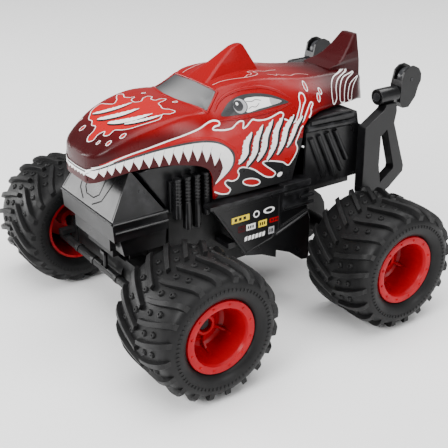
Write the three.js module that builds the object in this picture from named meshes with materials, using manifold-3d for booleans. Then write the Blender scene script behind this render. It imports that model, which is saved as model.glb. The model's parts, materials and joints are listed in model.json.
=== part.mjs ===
import * as THREE from 'three';
import { mergeVertices } from 'three/addons/utils/BufferGeometryUtils.js';
import Module from 'manifold-3d';

const wasm = await Module();
wasm.setup();

// Driving dimensions, in millimetres. The nose points to -Y and the truck's left side to +X.
const WHEELBASE = 145;
const FRONT_Y = -WHEELBASE / 2;
const REAR_Y = WHEELBASE / 2;
const TYRE_RADIUS = 42.9;
const TYRE_HALF_WIDTH = 29.1;
const TRACK_X = 89.4;
const AXLE_Z = TYRE_RADIUS;
const RIM_RADIUS = 23.6;
const WALL = 2;
const GAP = 0.3;
const KINGPIN_X = 62;
const STEER_ARM = 13.5;
const TIE_ROD_Z = 41.4;
const STUB_RADIUS = 2.5;
const BORE_RADIUS = 2.6;
const GEAR_MODULE = 1;
const AXLE_TEETH = 32;
const PINION_TEETH = 8;
const MOTOR_ANGLE = Math.PI * 0.75;
const HUB_END = 8;
const WHEELIE_X = 49.5;
const FORK_X = 47.2;
const ROLLER = { y: 129, z: 147, radius: 7.6, width: 6.4 };

// Body shell sections from nose to tail: y, crown height, shoulder edge, upper flank, widest flank.
const SECTIONS = [
  { y: -101.5, top: 127.6, edge: [9, 127.2], upper: [10.4, 121], wide: [10.9, 111] },
  { y: -100.3, top: 128.8, edge: [14, 128.2], upper: [15.4, 121], wide: [15.9, 111] },
  { y: -98, top: 130.6, edge: [18.2, 129.9], upper: [19.8, 122], wide: [20.4, 112] },
  { y: -94, top: 133.3, edge: [21.6, 132.4], upper: [23.6, 123], wide: [24.2, 113] },
  { y: -87, top: 137.8, edge: [24.8, 136.4], upper: [27.4, 125.5], wide: [28.3, 115] },
  { y: -77, top: 142.6, edge: [29.2, 140.8], upper: [31.8, 129], wide: [32.6, 118] },
  { y: -66, top: 146.6, edge: [31.8, 144.4], upper: [35, 132], wide: [36.2, 119] },
  { y: -55, top: 149, edge: [33.2, 146.9], upper: [37.4, 134], wide: [39, 120] },
  { y: -44, top: 150.2, edge: [33.6, 148.3], upper: [39, 135], wide: [41.2, 120] },
  { y: -34.5, top: 150.4, edge: [33.4, 148], upper: [39.8, 136], wide: [42.6, 120] },
  { y: -26, top: 153.4, edge: [31.6, 147.8], upper: [39, 138], wide: [43.6, 121] },
  { y: -15, top: 157.4, edge: [25.6, 156], upper: [37.4, 144], wide: [44.4, 121] },
  { y: -8, top: 159.6, edge: [26.4, 158.6], upper: [36.8, 147], wide: [44.8, 121] },
  { y: 6, top: 160.9, edge: [27, 159.8], upper: [36.8, 148], wide: [45.2, 121] },
  { y: 21, top: 160.9, edge: [27, 159], upper: [37.2, 147], wide: [45.4, 121] },
  { y: 36, top: 159, edge: [26.4, 156.8], upper: [37, 144.5], wide: [45.4, 122] },
  { y: 50, top: 156.2, edge: [24.8, 154], upper: [36.2, 142.5], wide: [44.4, 124] },
  { y: 65, top: 153.8, edge: [22.4, 151.8], upper: [33.6, 141.5], wide: [41.6, 127] },
  { y: 80, top: 152.4, edge: [20, 150.6], upper: [30.6, 140.5], wide: [38, 128] },
  { y: 95, top: 151.4, edge: [17.6, 149.2], upper: [26.6, 139.5], wide: [32.6, 128] },
  { y: 107, top: 150, edge: [15.2, 147], upper: [21.6, 138.5], wide: [26, 127] },
  { y: 114, top: 148, edge: [13, 145], upper: [16.8, 137.5], wide: [19.4, 126] },
  { y: 118.5, top: 146, edge: [10.6, 143], upper: [12.4, 137], wide: [13.8, 126] },
];

// Lower edge of the shell in side view: mouth arch, sill line, rear sweep up to the tail.
const LOWER_EDGE = [
  [-101.6, 110], [-99.5, 111.6], [-93, 115.2], [-84.5, 118], [-77, 119.7], [-67, 120.4],
  [-58, 120.4], [-47, 119], [-38, 116.7], [-32.5, 113], [-30, 107.5], [-29.7, 93],
  [31, 93], [35, 106.6], [38.6, 118.3], [41.7, 127.8], [46, 131.4], [58, 134],
  [76, 134.2], [103, 131.8], [113, 128.6],
];

// ---------- solids ----------

function toManifold(geometry) {
  const bare = geometry.clone();
  bare.deleteAttribute('normal');
  bare.deleteAttribute('uv');
  const merged = mergeVertices(bare, 1e-4);
  return new wasm.Manifold(new wasm.Mesh({
    numProp: 3,
    vertProperties: Float32Array.from(merged.attributes.position.array),
    triVerts: Uint32Array.from(merged.index.array),
  }));
}

function toGeometry(solid) {
  const mesh = solid.getMesh();
  const geometry = new THREE.BufferGeometry();
  geometry.setAttribute('position', new THREE.BufferAttribute(Float32Array.from(mesh.vertProperties), 3));
  geometry.setIndex(new THREE.BufferAttribute(Uint32Array.from(mesh.triVerts), 1));
  return geometry;
}

function join(...solids) {
  return solids.flat().reduce((whole, next) => whole.add(next));
}

function cut(solid, ...tools) {
  return tools.flat().reduce((whole, next) => whole.subtract(next), solid);
}

function box(x0, x1, y0, y1, z0, z1) {
  const geometry = new THREE.BoxGeometry(x1 - x0, y1 - y0, z1 - z0);
  geometry.translate((x0 + x1) / 2, (y0 + y1) / 2, (z0 + z1) / 2);
  return toManifold(geometry);
}

function extruded(points, depth, basis, shift) {
  const shape = new THREE.Shape(points.map(([u, v]) => new THREE.Vector2(u, v)));
  const geometry = new THREE.ExtrudeGeometry(shape, { depth, bevelEnabled: false });
  geometry.applyMatrix4(basis);
  geometry.translate(...shift);
  return toManifold(geometry);
}

// Outline in (y, z), thickness from x0 to x1.
function plateX(points, x0, x1) {
  const basis = new THREE.Matrix4().makeBasis(
    new THREE.Vector3(0, 1, 0), new THREE.Vector3(0, 0, 1), new THREE.Vector3(1, 0, 0));
  return extruded(points, x1 - x0, basis, [x0, 0, 0]);
}

// Outline in (x, y), thickness from z0 to z1.
function plateZ(points, z0, z1) {
  return extruded(points, z1 - z0, new THREE.Matrix4(), [0, 0, z0]);
}

function rod(axis, centre, radius, length, segments = 16) {
  const geometry = new THREE.CylinderGeometry(radius, radius, length, segments);
  if (axis === 'x') geometry.rotateZ(Math.PI / 2);
  if (axis === 'z') geometry.rotateX(Math.PI / 2);
  geometry.translate(...centre);
  return toManifold(geometry);
}

// A round bar from one point to another.
function strut(from, to, radius, segments = 10) {
  const a = new THREE.Vector3(...from);
  const b = new THREE.Vector3(...to);
  const along = b.clone().sub(a);
  const geometry = new THREE.CylinderGeometry(radius, radius, along.length(), segments);
  const turn = new THREE.Quaternion().setFromUnitVectors(
    new THREE.Vector3(0, 1, 0), along.clone().normalize());
  geometry.applyQuaternion(turn);
  geometry.translate(...a.add(b).multiplyScalar(0.5).toArray());
  return toManifold(geometry);
}

// A closed surface from its points and triangles, turned so that it faces outward.
function closed(positions, faces) {
  let volume = 0;
  for (let i = 0; i < faces.length; i += 3) {
    const [a, b, c] = [0, 1, 2].map((k) => new THREE.Vector3(...positions[faces[i + k]]));
    volume += a.dot(b.cross(c));
  }
  const geometry = new THREE.BufferGeometry();
  geometry.setAttribute('position', new THREE.Float32BufferAttribute(positions.flat(), 3));
  geometry.setIndex(volume > 0 ? faces : [...faces].reverse());
  return toManifold(geometry);
}

// Quads between two rings of equal count.
function band(a, b, count, faces) {
  for (let i = 0; i < count; i += 1) {
    const j = (i + 1) % count;
    faces.push(a + i, a + j, b + i, b + i, a + j, b + j);
  }
}

// A closed outline in (x, radius, lead angle) swept about the X axis. It may change with each step.
function swept(profileAt, segments) {
  const positions = [];
  const faces = [];
  for (let s = 0; s < segments; s += 1) {
    const profile = profileAt(s);
    for (const [x, r, lead = 0] of profile) {
      const angle = (s / segments) * 2 * Math.PI + lead;
      positions.push([x, r * Math.cos(angle), r * Math.sin(angle)]);
    }
    band(s * profile.length, ((s + 1) % segments) * profile.length, profile.length, faces);
  }
  return closed(positions, faces);
}

function turned(profile, segments) {
  return swept(() => profile, segments);
}

// Triangles of one flat ring, wound the way the ring runs.
function capFaces(ring, axes, start) {
  const flat = ring.map((p) => new THREE.Vector2(p[axes[0]], p[axes[1]]));
  const triangles = THREE.ShapeUtils.triangulateShape(flat, []);
  const area = (t) => THREE.ShapeUtils.area(t.map((i) => flat[i]));
  const total = triangles.reduce((sum, t) => sum + area(t), 0);
  const same = total * THREE.ShapeUtils.area(flat) > 0;
  return triangles.flatMap(([a, b, c]) => (same ? [a, b, c] : [c, b, a]).map((i) => start + i));
}

// Closed rings with equal point counts, skinned in order and capped at both ends.
function skinned(rings, capAxes) {
  const count = rings[0].length;
  const last = rings.length - 1;
  const faces = [];
  for (let r = 0; r < last; r += 1) {
    band(r * count, (r + 1) * count, count, faces);
  }
  faces.push(...capFaces(rings[0], capAxes, 0).reverse());
  faces.push(...capFaces(rings[last], capAxes, last * count));
  return closed(rings.flat(), faces);
}

// ---------- body shell ----------

// Half section from the keel up to the crown, rounded through its control points.
function halfSection(section, inset) {
  const { top, edge, upper, wide } = section;
  const points = [
    [wide[0] + 0.4 - inset, 86 - 3 * inset],
    [wide[0] + 0.2 - inset, (wide[1] + 86) / 2],
    [wide[0] - inset, wide[1]],
    [upper[0] - inset, upper[1] - 0.3 * inset],
    [edge[0] + 1.2 - 0.9 * inset, edge[1] - 1.6 - 0.6 * inset],
    [edge[0] - 1 - 0.5 * inset, edge[1] + 0.1 - inset],
    [edge[0] * 0.5, (edge[1] + 2 * top) / 3 - inset],
    [0, top - inset],
  ].map(([x, z]) => new THREE.Vector3(x, z, 0));
  const curve = new THREE.CatmullRomCurve3(points, false, 'centripetal');
  const samples = [];
  for (let i = 0; i <= 10; i += 1) {
    const p = curve.getPoint(i / 10);
    samples.push([p.x, p.y]);
  }
  return samples;
}

function sectionRing(section, inset, y) {
  const half = halfSection(section, inset);
  const right = half.map(([x, z]) => [x, y, z]);
  const left = half.slice(0, -1).reverse().map(([x, z]) => [-x, y, z]);
  return [...right, ...left];
}

function hull(inset) {
  const last = SECTIONS.length - 1;
  const rings = SECTIONS.map((section, i) => {
    let y = section.y;
    if (i === 0) y += inset;
    if (i === last) y -= inset;
    if (i === 1) y += 0.6 * inset;
    return sectionRing(section, inset, y);
  });
  return skinned(rings.map((ring) => ring.slice().reverse()), [0, 2]);
}

// A four-sided fin given by levels: height, front y, front half width, rear y, rear half width.
function fin(levels, inset) {
  const rings = levels.map(([z, y0, w0, y1, w1], i) => {
    const drop = i === levels.length - 1 ? inset : 0;
    const f = w0 - inset;
    const b = w1 - inset;
    const yf = y0 + 1.4 * inset;
    const yb = y1 - inset;
    return [[-f, yf, z - drop], [f, yf, z - drop], [b, yb, z - drop], [-b, yb, z - drop]];
  });
  return skinned(rings, [0, 1]);
}

const DORSAL = [
  [154.5, -18, 12.5, 33.5, 9], [158.8, -12.2, 11, 31.4, 8], [166.5, -0.6, 6.6, 27.6, 5.2],
  [175.4, 12.6, 3.4, 22.6, 2.8], [176.7, 16.5, 2.6, 21, 2.4],
];
const TAIL = [
  [129.4, 92, 12, 117.2, 13.6], [137, 87, 13.6, 119.6, 10.8], [152.4, 86.4, 14, 120.6, 8.6],
  [157.6, 101.6, 9.6, 120.2, 8], [163, 108, 7.8, 119.6, 7.2], [171.2, 115, 6.3, 118.6, 6],
];

function windscreenOutline(grow) {
  const points = [];
  for (let i = 0; i <= 10; i += 1) {
    const x = -31.9 + 6.38 * i;
    points.push([x * (1 + grow / 32), -34.4 + 8 * (x / 31.9) ** 2 - grow]);
  }
  points.push([24.6 + grow, -14.9 + grow], [-24.6 - grow, -14.9 + grow]);
  return points;
}

const POST_SPOTS = [[24, -5], [24, 28], [-24, -5], [-24, 28]];

function shell() {
  const outer = join(hull(0), fin(DORSAL, 0), fin(TAIL, 0));
  const inner = join(hull(WALL), fin(DORSAL, WALL * 0.8), fin(TAIL, WALL));
  const lower = [...LOWER_EDGE, [135, 125], [135, 40], [-135, 40], [-135, 104]];
  const glassHole = plateZ(windscreenOutline(0), 130, 172);
  const skin = cut(outer, inner, plateX(lower, -60, 60), glassHole);
  const posts = POST_SPOTS.map(([x, y]) => cut(
    rod('z', [x, y, 122], 3.6, 71.4, 14), rod('z', [x, y, 90], 1.35, 24, 14)));
  return join(skin, posts.map((post) => post.intersect(hull(0.6))));
}

function windscreen() {
  const glass = plateZ(windscreenOutline(-GAP), 130, 172);
  return cut(hull(0.25).intersect(glass), hull(WALL), fin(DORSAL, -GAP));
}

// ---------- wheels ----------

const LUGS = 10;

// A hollow tyre. The tread bars of the two halves alternate and lean away from the middle.
function tyre() {
  const w = TYRE_HALF_WIDTH;
  return swept((step) => {
    const raised = (side) => ((step + (side > 0 ? 0 : 2)) % 4 < 2);
    const tread = [[26.6, 38.6], [14, 40], [1.6, 40.2]];
    const half = (side) => tread.map(([x, r]) => [
      side * x, raised(side) ? r + (x > 20 ? 1.4 : TYRE_RADIUS - r) : r - 0.6, (x / w) * 0.3]);
    return [
      [23.4, 24], [w, 31], ...half(1), ...half(-1).reverse(), [-w, 31], [-23.4, 24],
      [-21.4, 24], [-25.4, 33.4], [25.4, 33.4], [21.4, 24],
    ];
  }, 4 * LUGS);
}

// A deep dish with a hub in its floor, six ribs and a recess for the nut.
function rim() {
  const face = 25.8;
  const profile = [
    [face, RIM_RADIUS], [face, 18.4], [6, 15.2], [5, 6.6], [9, 6.4], [9, 4.3], [3, 4.3], [3, BORE_RADIUS],
    [-6, BORE_RADIUS], [-6, 6], [2.4, 6.6], [3.6, 16.8], [23, 20.2], [23, 21.8], [-24, 21.8],
    [-24, RIM_RADIUS],
  ];
  const ribs = [];
  for (let i = 0; i < 6; i += 1) {
    const rib = new THREE.BoxGeometry(9, 1.8, 16.6);
    rib.translate(4.4, 0, 13.9);
    rib.rotateX((i / 6) * 2 * Math.PI);
    ribs.push(toManifold(rib));
  }
  return join(turned(profile, 20), ribs);
}

function wheelNut() {
  return cut(rod('x', [0, 0, 0], 3.9, 3.4, 6), rod('x', [0, 0, 0], BORE_RADIUS, 5, 16));
}

const WHEELS = [
  { name: 'front_left', x: TRACK_X, y: FRONT_Y, flip: false },
  { name: 'front_right', x: -TRACK_X, y: FRONT_Y, flip: true },
  { name: 'rear_left', x: TRACK_X, y: REAR_Y, flip: false },
  { name: 'rear_right', x: -TRACK_X, y: REAR_Y, flip: true },
];

function placed(solid, wheel) {
  const turnedSolid = wheel.flip ? solid.rotate([0, 0, 180]) : solid;
  return turnedSolid.translate([wheel.x, wheel.y, AXLE_Z]);
}

// ---------- steering ----------

function frontBeam() {
  const ears = [1, -1].map((s) => join(
    box(Math.min(s * 50, s * 66), Math.max(s * 50, s * 66), FRONT_Y - 5.5, FRONT_Y + 5.5, 49.2, 52.4),
    box(Math.min(s * 50, s * 66), Math.max(s * 50, s * 66), FRONT_Y - 5.5, FRONT_Y + 5.5, 33.4, 36.6)));
  const beam = box(-54, 54, FRONT_Y - 6.5, FRONT_Y + 6.5, 33.4, 52.4);
  const pumpkin = rod('x', [0, FRONT_Y, 40], 8.8, 24, 16);
  const pads = box(-16, 16, FRONT_Y - 4, FRONT_Y + 10, 50, 57.7);
  const pinHoles = [1, -1].map((s) => rod('z', [s * KINGPIN_X, FRONT_Y, 43], 1.6, 30, 16));
  const hornRoom = box(-15, 15, FRONT_Y - 16, FRONT_Y + 4.6, 51, 56);
  const spindleHole = rod('z', [0, FRONT_Y, 57], 1.6, 6);
  return cut(join(beam, pumpkin, ears, pads), pinHoles, hornRoom, spindleHole);
}

function knuckle(side) {
  const x = side * KINGPIN_X;
  const block = box(x - 5, x + 5, FRONT_Y - 6, FRONT_Y + 5, 36.9, 48.9);
  const arm = box(x - 3, x + 3, FRONT_Y - STEER_ARM - 3, FRONT_Y - 5, 43.4, 46.6);
  const pin = rod('z', [x, FRONT_Y - STEER_ARM, TIE_ROD_Z + 0.3], 1.5, 5, 16);
  const stubEnd = TRACK_X + HUB_END;
  const stubStart = KINGPIN_X + 2.7;
  const stubX = (side * (stubStart + stubEnd)) / 2;
  const stub = rod('x', [stubX, FRONT_Y, AXLE_Z], STUB_RADIUS, stubEnd - stubStart, 24);
  const collar = rod('x', [side * 72, FRONT_Y, AXLE_Z], 4.6, 12, 16);
  return cut(join(block, arm, pin, stub, collar), rod('z', [x, FRONT_Y, 43], 1.6, 30, 16));
}

function kingpin(side) {
  return join(
    rod('z', [side * KINGPIN_X, FRONT_Y, 43], 1.5, 19.6, 16),
    rod('z', [side * KINGPIN_X, FRONT_Y, 53.4], 2.8, 1.4, 16));
}

function tieRod() {
  const y = FRONT_Y - STEER_ARM;
  const end = KINGPIN_X + 3.4;
  const bar = box(-end, end, y - 2.5, y + 2.5, TIE_ROD_Z - 1.5, TIE_ROD_Z + 1.5);
  const spine = rod('x', [0, y, TIE_ROD_Z], 2.7, 2 * KINGPIN_X - 14, 12);
  const collars = [-38, -16, 16, 38].map((x) => rod('x', [x, y, TIE_ROD_Z], 3.3, 3.4, 12));
  const holes = [-KINGPIN_X, KINGPIN_X].map((x) => rod('z', [x, y, TIE_ROD_Z], 1.6, 12, 16));
  return cut(join(bar, spine, collars), holes, box(-4, 4, y - 1.62, y + 1.62, 30, 60));
}

function servoHorn() {
  const y = FRONT_Y - STEER_ARM;
  const arm = box(-2.6, 2.6, y - 2.2, FRONT_Y, 52.8, 55);
  const hub = rod('z', [0, FRONT_Y, 53.9], 3.8, 2.2, 16);
  const pin = rod('z', [0, y, 46.4], 1.5, 13.6, 16);
  const spindle = rod('z', [0, FRONT_Y, 57.2], 1.5, 8, 16);
  return join(arm, hub, pin, spindle);
}

function steeringServo() {
  const block = box(-11.5, 11.5, FRONT_Y - 7, FRONT_Y + 14.5, 58, 78);
  return cut(block, rod('z', [0, FRONT_Y, 58], 1.6, 8, 16));
}

// ---------- drive ----------

function gear(teeth, module, x, y, z, width, bore, phase) {
  const pitch = (teeth * module) / 2;
  const root = pitch - 1.25 * module;
  const tip = pitch + 0.9 * module;
  const step = (2 * Math.PI) / teeth;
  const points = [];
  for (let i = 0; i < teeth; i += 1) {
    const at = phase + i * step;
    for (const [turn, radius] of [[-0.3, root], [-0.11, tip], [0.11, tip], [0.3, root]]) {
      const angle = at + turn * step;
      points.push([y + radius * Math.cos(angle), z + radius * Math.sin(angle)]);
    }
  }
  return cut(plateX(points, x, x + width), rod('x', [x, y, z], bore, 40, 24));
}

const CENTRES = (GEAR_MODULE * (AXLE_TEETH + PINION_TEETH)) / 2 + 0.15;
const MOTOR = {
  y: REAR_Y + CENTRES * Math.cos(MOTOR_ANGLE),
  z: AXLE_Z + CENTRES * Math.sin(MOTOR_ANGLE),
};

// Gearbox outline round the axle gear and the pinion, in (y, z): two arcs and their common tangents.
function gearboxOutline(grow) {
  const big = 18.6 + grow;
  const small = 6.6 + grow;
  const lean = Math.PI / 2 - Math.asin((big - small) / CENTRES);
  const arc = (y, z, radius, from, sweep) => {
    const steps = Math.ceil(sweep / 0.4);
    return Array.from({ length: steps + 1 }, (_, i) => {
      const angle = from + (i / steps) * sweep;
      return [y + radius * Math.cos(angle), z + radius * Math.sin(angle)];
    });
  };
  return [
    ...arc(REAR_Y, AXLE_Z, big, MOTOR_ANGLE + lean, 2 * Math.PI - 2 * lean),
    ...arc(MOTOR.y, MOTOR.z, small, MOTOR_ANGLE - lean, 2 * lean),
  ];
}

function gearboxCase() {
  const wall = plateX(gearboxOutline(WALL), -8, 8);
  const room = plateX(gearboxOutline(0), -6, 9);
  const tube = rod('x', [-31, REAR_Y, AXLE_Z], 6.4, 48, 16);
  const bore = rod('x', [-30, REAR_Y, AXLE_Z], BORE_RADIUS, 60, 24);
  const hanger = box(-7.9, 7.9, REAR_Y - 2, REAR_Y + 8, 61, 71.7);
  const motorHole = rod('x', [-7, MOTOR.y, MOTOR.z], 1.3, 8, 16);
  return cut(join(cut(wall, room), cut(tube, box(-6, 9, 50, 95, 20, 70)), hanger), bore, motorHole);
}

function gearboxCover() {
  const plate = plateX(gearboxOutline(WALL), 8.3, 10.6);
  const tube = rod('x', [32, REAR_Y, AXLE_Z], 6.4, 46, 16);
  const bore = rod('x', [32, REAR_Y, AXLE_Z], BORE_RADIUS, 60, 24);
  return cut(join(plate, tube), bore);
}

function driveMotor() {
  const can = rod('x', [-22, MOTOR.y, MOTOR.z], 10, 26, 24);
  const boss = rod('x', [-8.6, MOTOR.y, MOTOR.z], 3, 1.2, 16);
  const tail = rod('x', [-36.4, MOTOR.y, MOTOR.z], 4.4, 3, 16);
  return cut(join(can, boss, tail), rod('x', [-20, MOTOR.y, MOTOR.z], 1.1, 28, 16));
}

function motorPinion() {
  const phase = MOTOR_ANGLE + Math.PI;
  const wheel = gear(PINION_TEETH, GEAR_MODULE, -4.6, MOTOR.y, MOTOR.z, 8, 0.4, phase);
  return join(wheel, rod('x', [-14, MOTOR.y, MOTOR.z], 1, 34, 16));
}

function axleGear() {
  const phase = MOTOR_ANGLE + Math.PI / AXLE_TEETH;
  const web = gear(AXLE_TEETH, GEAR_MODULE, -4, REAR_Y, AXLE_Z, 6, BORE_RADIUS, phase);
  const hub = rod('x', [0.5, REAR_Y, AXLE_Z], 6, 11, 16);
  return cut(join(web, hub), rod('x', [0, REAR_Y, AXLE_Z], BORE_RADIUS, 40, 24));
}

// ---------- chassis ----------

const TUB = { x: 31, y0: -56, y1: 43, z0: 38, z1: 86 };

function chassisTub() {
  const { x, y0, y1, z0, z1 } = TUB;
  const outer = box(-x, x, y0, y1, z0, z1);
  const inner = box(-x + WALL, x - WALL, y0 + WALL, y1 - WALL, z0 + WALL, z1 + 1);
  const nose = box(-17, 17, -89, y0 + 1, 57.9, 84);
  const noseRoom = box(-12.2, 12.2, -80.6, y0 - 1.4, 57, 85);
  const tail = box(-30, 30, y1 - 1, 96, 72, 82);
  const tailRoom = box(-28, 28, y1 + 1, 94, 74, 83);
  const tabs = POST_SPOTS.map(([px, py]) => {
    const near = Math.sign(px) * (x - 1);
    return box(Math.min(px - Math.sign(px) * 5, near), Math.max(px - Math.sign(px) * 5, near),
      py - 5, py + 5, 83.4, 86);
  });
  const tabHoles = POST_SPOTS.map(([px, py]) => rod('z', [px, py, 85], 1.6, 6, 16));
  const doorHole = box(-19.8, 19.8, -21.8, 37.8, z0 - 1, z0 + WALL + 1);
  const switchHole = box(10, 18, -38, -32, z0 - 1, z0 + WALL + 1);
  const boardPosts = [[25, -20], [25, 34], [-25, -20], [-25, 34]].map(([px, py]) => join(
    rod('z', [px, py, 52], 2.4, 27, 12),
    box(Math.min(px, Math.sign(px) * 30), Math.max(px, Math.sign(px) * 30), py - 0.8, py + 0.8, 39, 64)));
  const shellTub = cut(join(outer, nose, tail), inner, noseRoom, tailRoom, doorHole, switchHole);
  return cut(join(shellTub, tabs, boardPosts), tabHoles);
}

function batteryDoor() {
  const plate = box(-19.4, 19.4, -21.4, 37.4, TUB.z0, TUB.z0 + WALL);
  const ribs = [-14, -8, -2, 4, 10, 16].map((y) => box(-12, 12, y, y + 1.6, TUB.z0 - 0.8, TUB.z0 + 0.4));
  return cut(join(plate, ribs), rod('z', [0, 32, 39], 1.5, 6, 16));
}

function doorScrew() {
  return join(rod('z', [0, 32, 37.1], 2.8, 1.4, 16), rod('z', [0, 32, 39], 1.3, 3.4, 16));
}

function batteryPack() {
  const cells = [-11.2, 0, 11.2].map((x) => rod('y', [x, 6, 48.6], 7.2, 50, 18));
  return join(cells, box(-11, 11, -19, 31, 42.6, 46));
}

function circuitBoard() {
  const plate = box(-27.6, 27.6, -24, 38, 65.8, 67.4);
  const chips = [[-14, -12, 12, 10], [8, 2, 14, 14], [-12, 18, 9, 8], [10, -16, 6, 6]].map(
    ([x, y, w, d]) => box(x, x + w, y, y + d, 67, 69.6));
  const coil = rod('z', [-18, 4, 70], 4, 7, 14);
  return join(plate, chips, coil);
}

function powerSwitch() {
  return join(
    box(9, 16, -39.4, -31.4, TUB.z0 + WALL + GAP, TUB.z0 + WALL + 2),
    box(10.4, 13.8, -37.6, -32.4, TUB.z0 - 1.4, TUB.z0 + WALL + 1));
}

function bodyScrew([x, y]) {
  return join(rod('z', [x, y, 82.4], 2.8, 1.4, 14), rod('z', [x, y, 88.6], 1.25, 12, 14));
}

// ---------- outer black bodywork ----------

function bumper() {
  const ring = (z, front, x, rear) => [[-x, -front, z], [x, -front, z], [x, -rear, z], [-x, -rear, z]];
  const lower = skinned([ring(64, 88, 31, 58.5), ring(77.4, 92, 33.4, 58.5)], [0, 1]);
  const front = skinned([ring(77, 96.4, 35, 58.5), ring(90.4, 97.4, 35, 58.5)], [0, 1]);
  const prow = skinned([ring(90, 97.4, 35, 60.5), ring(117.6, 81, 28.6, 79.4)], [0, 1]);
  const ledges = [1, -1].flatMap((s) => [
    strut([s * 35, -97, 89.2], [s * 35, -58.5, 89.2], 1.1, 8),
    strut([s * 35, -95.6, 83.2], [s * 35, -58.5, 83.2], 1.1, 8),
  ]);
  const lip = strut([-35, -97, 89.6], [35, -97, 89.6], 1.1, 8);
  const panel = box(-24, 24, -94.2, -90, 66.5, 77.4);
  const socket = box(-17.3, 17.3, -89.3, -50, 57, 84.3);
  const hollow = skinned([ring(84, 88, 30, 50), ring(108, 84, 26, 50)], [0, 1]);
  return cut(join(lower, front, prow, ledges, lip, panel), socket, hollow);
}

function cowl() {
  const outer = [
    [-57.9, 87], [-57.9, 90], [-76.6, 117.6], [-70, 119], [-36, 117], [-31.6, 110], [-31.6, 87],
  ];
  const inner = [
    [-56, 80], [-56, 91], [-72.4, 115.4], [-69, 116.8], [-38, 115], [-33.8, 109], [-33.8, 80],
  ];
  return cut(plateX(outer.reverse(), -33, 33), plateX(inner.reverse(), -31, 31));
}

// A bank of square header pipes on the side of the cowl.
function headers(side) {
  const span = (a, b) => [Math.min(side * a, side * b), Math.max(side * a, side * b)];
  const back = box(...span(33.3, 36), -57, -30.6, 88, 108);
  const pipes = [[-55.6, 84], [-48.6, 75], [-41.6, 75], [-34.6, 82]].map(([y, bottom]) => join(
    box(...span(35.8, 41.2), y, y + 4.4, bottom, 111),
    [99, 105].map((z) => box(...span(41, 41.8), y, y + 4.4, z, z + 2.4))));
  return join(back, pipes);
}

const SILL_OUTLINE = [
  [-36.6, 90.6], [-33.4, 87.2], [-8, 49.4], [5, 46.4], [16.8, 41], [17, 46.4], [28.6, 41.4], [39.4, 33],
  [45.4, 32], [45.4, 62], [43.6, 68.4], [43.6, 90.6], [20.8, 90.6],
];

function sill(side) {
  const span = (a, b) => [Math.min(side * a, side * b), Math.max(side * a, side * b)];
  const panel = plateX([...SILL_OUTLINE].reverse(), ...span(45.6, 49.4));
  const top = join(
    box(...span(31.3, 50.4), -29.8, 43.6, 88.4, 90.8),
    box(...span(42.2, 50.4), -36.6, -29, 88.4, 90.8));
  const step = box(...span(40, 50.4), 21.4, 44, 90, 92.4);
  const rails = [[22.4, 47.4, 75.4], [35.8, 47.4, 80.6], [22.4, 43, 86]].map(([y0, y1, z]) => box(
    ...span(49, 50.8), y0, y1, z - 0.9, z + 0.9));
  const brace = strut([side * 49.4, 15.6, 58.6], [side * 49.4, 43, 68.6], 1.3, 8);
  const recess = [[-30.4, 85.6], [-7.4, 51.6], [13, 56.8], [18.6, 62], [18.6, 85.6]];
  const frame = plateX(recess, ...span(48.8, 50.6));
  const arms = [[-20, -14], [8, 14], [34, 40]].map(([y0, y1]) => box(...span(31.3, 46), y0, y1, 56, 60));
  const window = [[20.2, 62.6], [20.2, 73.6], [44, 73.6], [44, 70.4], [41.6, 70]];
  const cutBack = plateX(window, ...span(48.2, 52));
  return cut(join(cut(panel, cutBack), top, step, rails, brace, arms), frame);
}

function rearBed() {
  const side = [
    [44.2, 83], [44.2, 125], [47, 129.6], [58.6, 131.8], [76, 132], [88, 129.6], [90, 120.6], [98, 116],
    [98, 83],
  ];
  const outer = plateX([...side].reverse(), -43.6, 43.6);
  const inside = [[42, 84], [42, 122], [58, 126], [86, 126], [88, 117.4], [96, 113.6], [96, 84]];
  const room = plateX(inside.reverse(), -41.6, 41.6);
  const floorCut = box(-30.4, 30.4, 40, 96.4, 70, 90);
  const rails = [1, -1].map((s) => strut([s * 43.2, 44.4, 124.6], [s * 43.2, 86, 123], 2.6, 10));
  const ribs = [1, -1].flatMap((s) => [[47.4, 118, 60.6, 88.6], [54, 119, 68.6, 88], [61, 119.6, 76, 90],
    [68, 120, 80, 97]].map(([y0, z0, y1, z1]) => strut([s * 44, y0, z0], [s * 44, y1, z1], 1.9, 10)));
  const ledges = [[36, 45.4], [-45.4, -36]].map(([x0, x1]) => box(x0, x1, 47, 84, 127.4, 129.8));
  const above = [[30, 128.4], [44, 128.4], [46, 131.8], [58, 134.4], [130, 134.4], [130, 160], [30, 160]];
  const shellRoom = plateX(above, -60, 60);
  return cut(join(cut(outer, room, floorCut), rails, ribs, ledges), shellRoom);
}

// ---------- wheelie bar ----------

function wheelieFrame(side) {
  const x = side * WHEELIE_X;
  const outline = [
    [88, 119.4], [104.6, 129.6], [106.6, 133], [115.6, 133], [116.6, 127], [115, 118.6], [127.4, 84.4],
    [127, 80.4], [113.6, 70], [104, 66], [91, 66], [88, 72],
  ];
  const opening = [[108.4, 114.6], [117, 86], [116.4, 83.6], [105.6, 76], [103.2, 90], [103.2, 111]];
  const gap = plateX(opening.reverse(), x - 9, x + 9);
  const plate = cut(plateX(outline.reverse(), x - 3.8, x + 3.8), gap);
  const boss = rod('y', [side * FORK_X, 110.6, 137.6], 5.6, 17.2, 16);
  const foot = box(Math.min(side * 43.9, x), Math.max(side * 43.9, x), 90, 97.6, 86, 112);
  const screwX = side * FORK_X;
  const screwRoom = join(
    rod('y', [screwX, 101.4, 137.6], 3.7, 6, 16),
    rod('y', [screwX, 112, 137.6], 1.6, 24, 16));
  return cut(join(plate, boss, foot), screwRoom);
}

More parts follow.
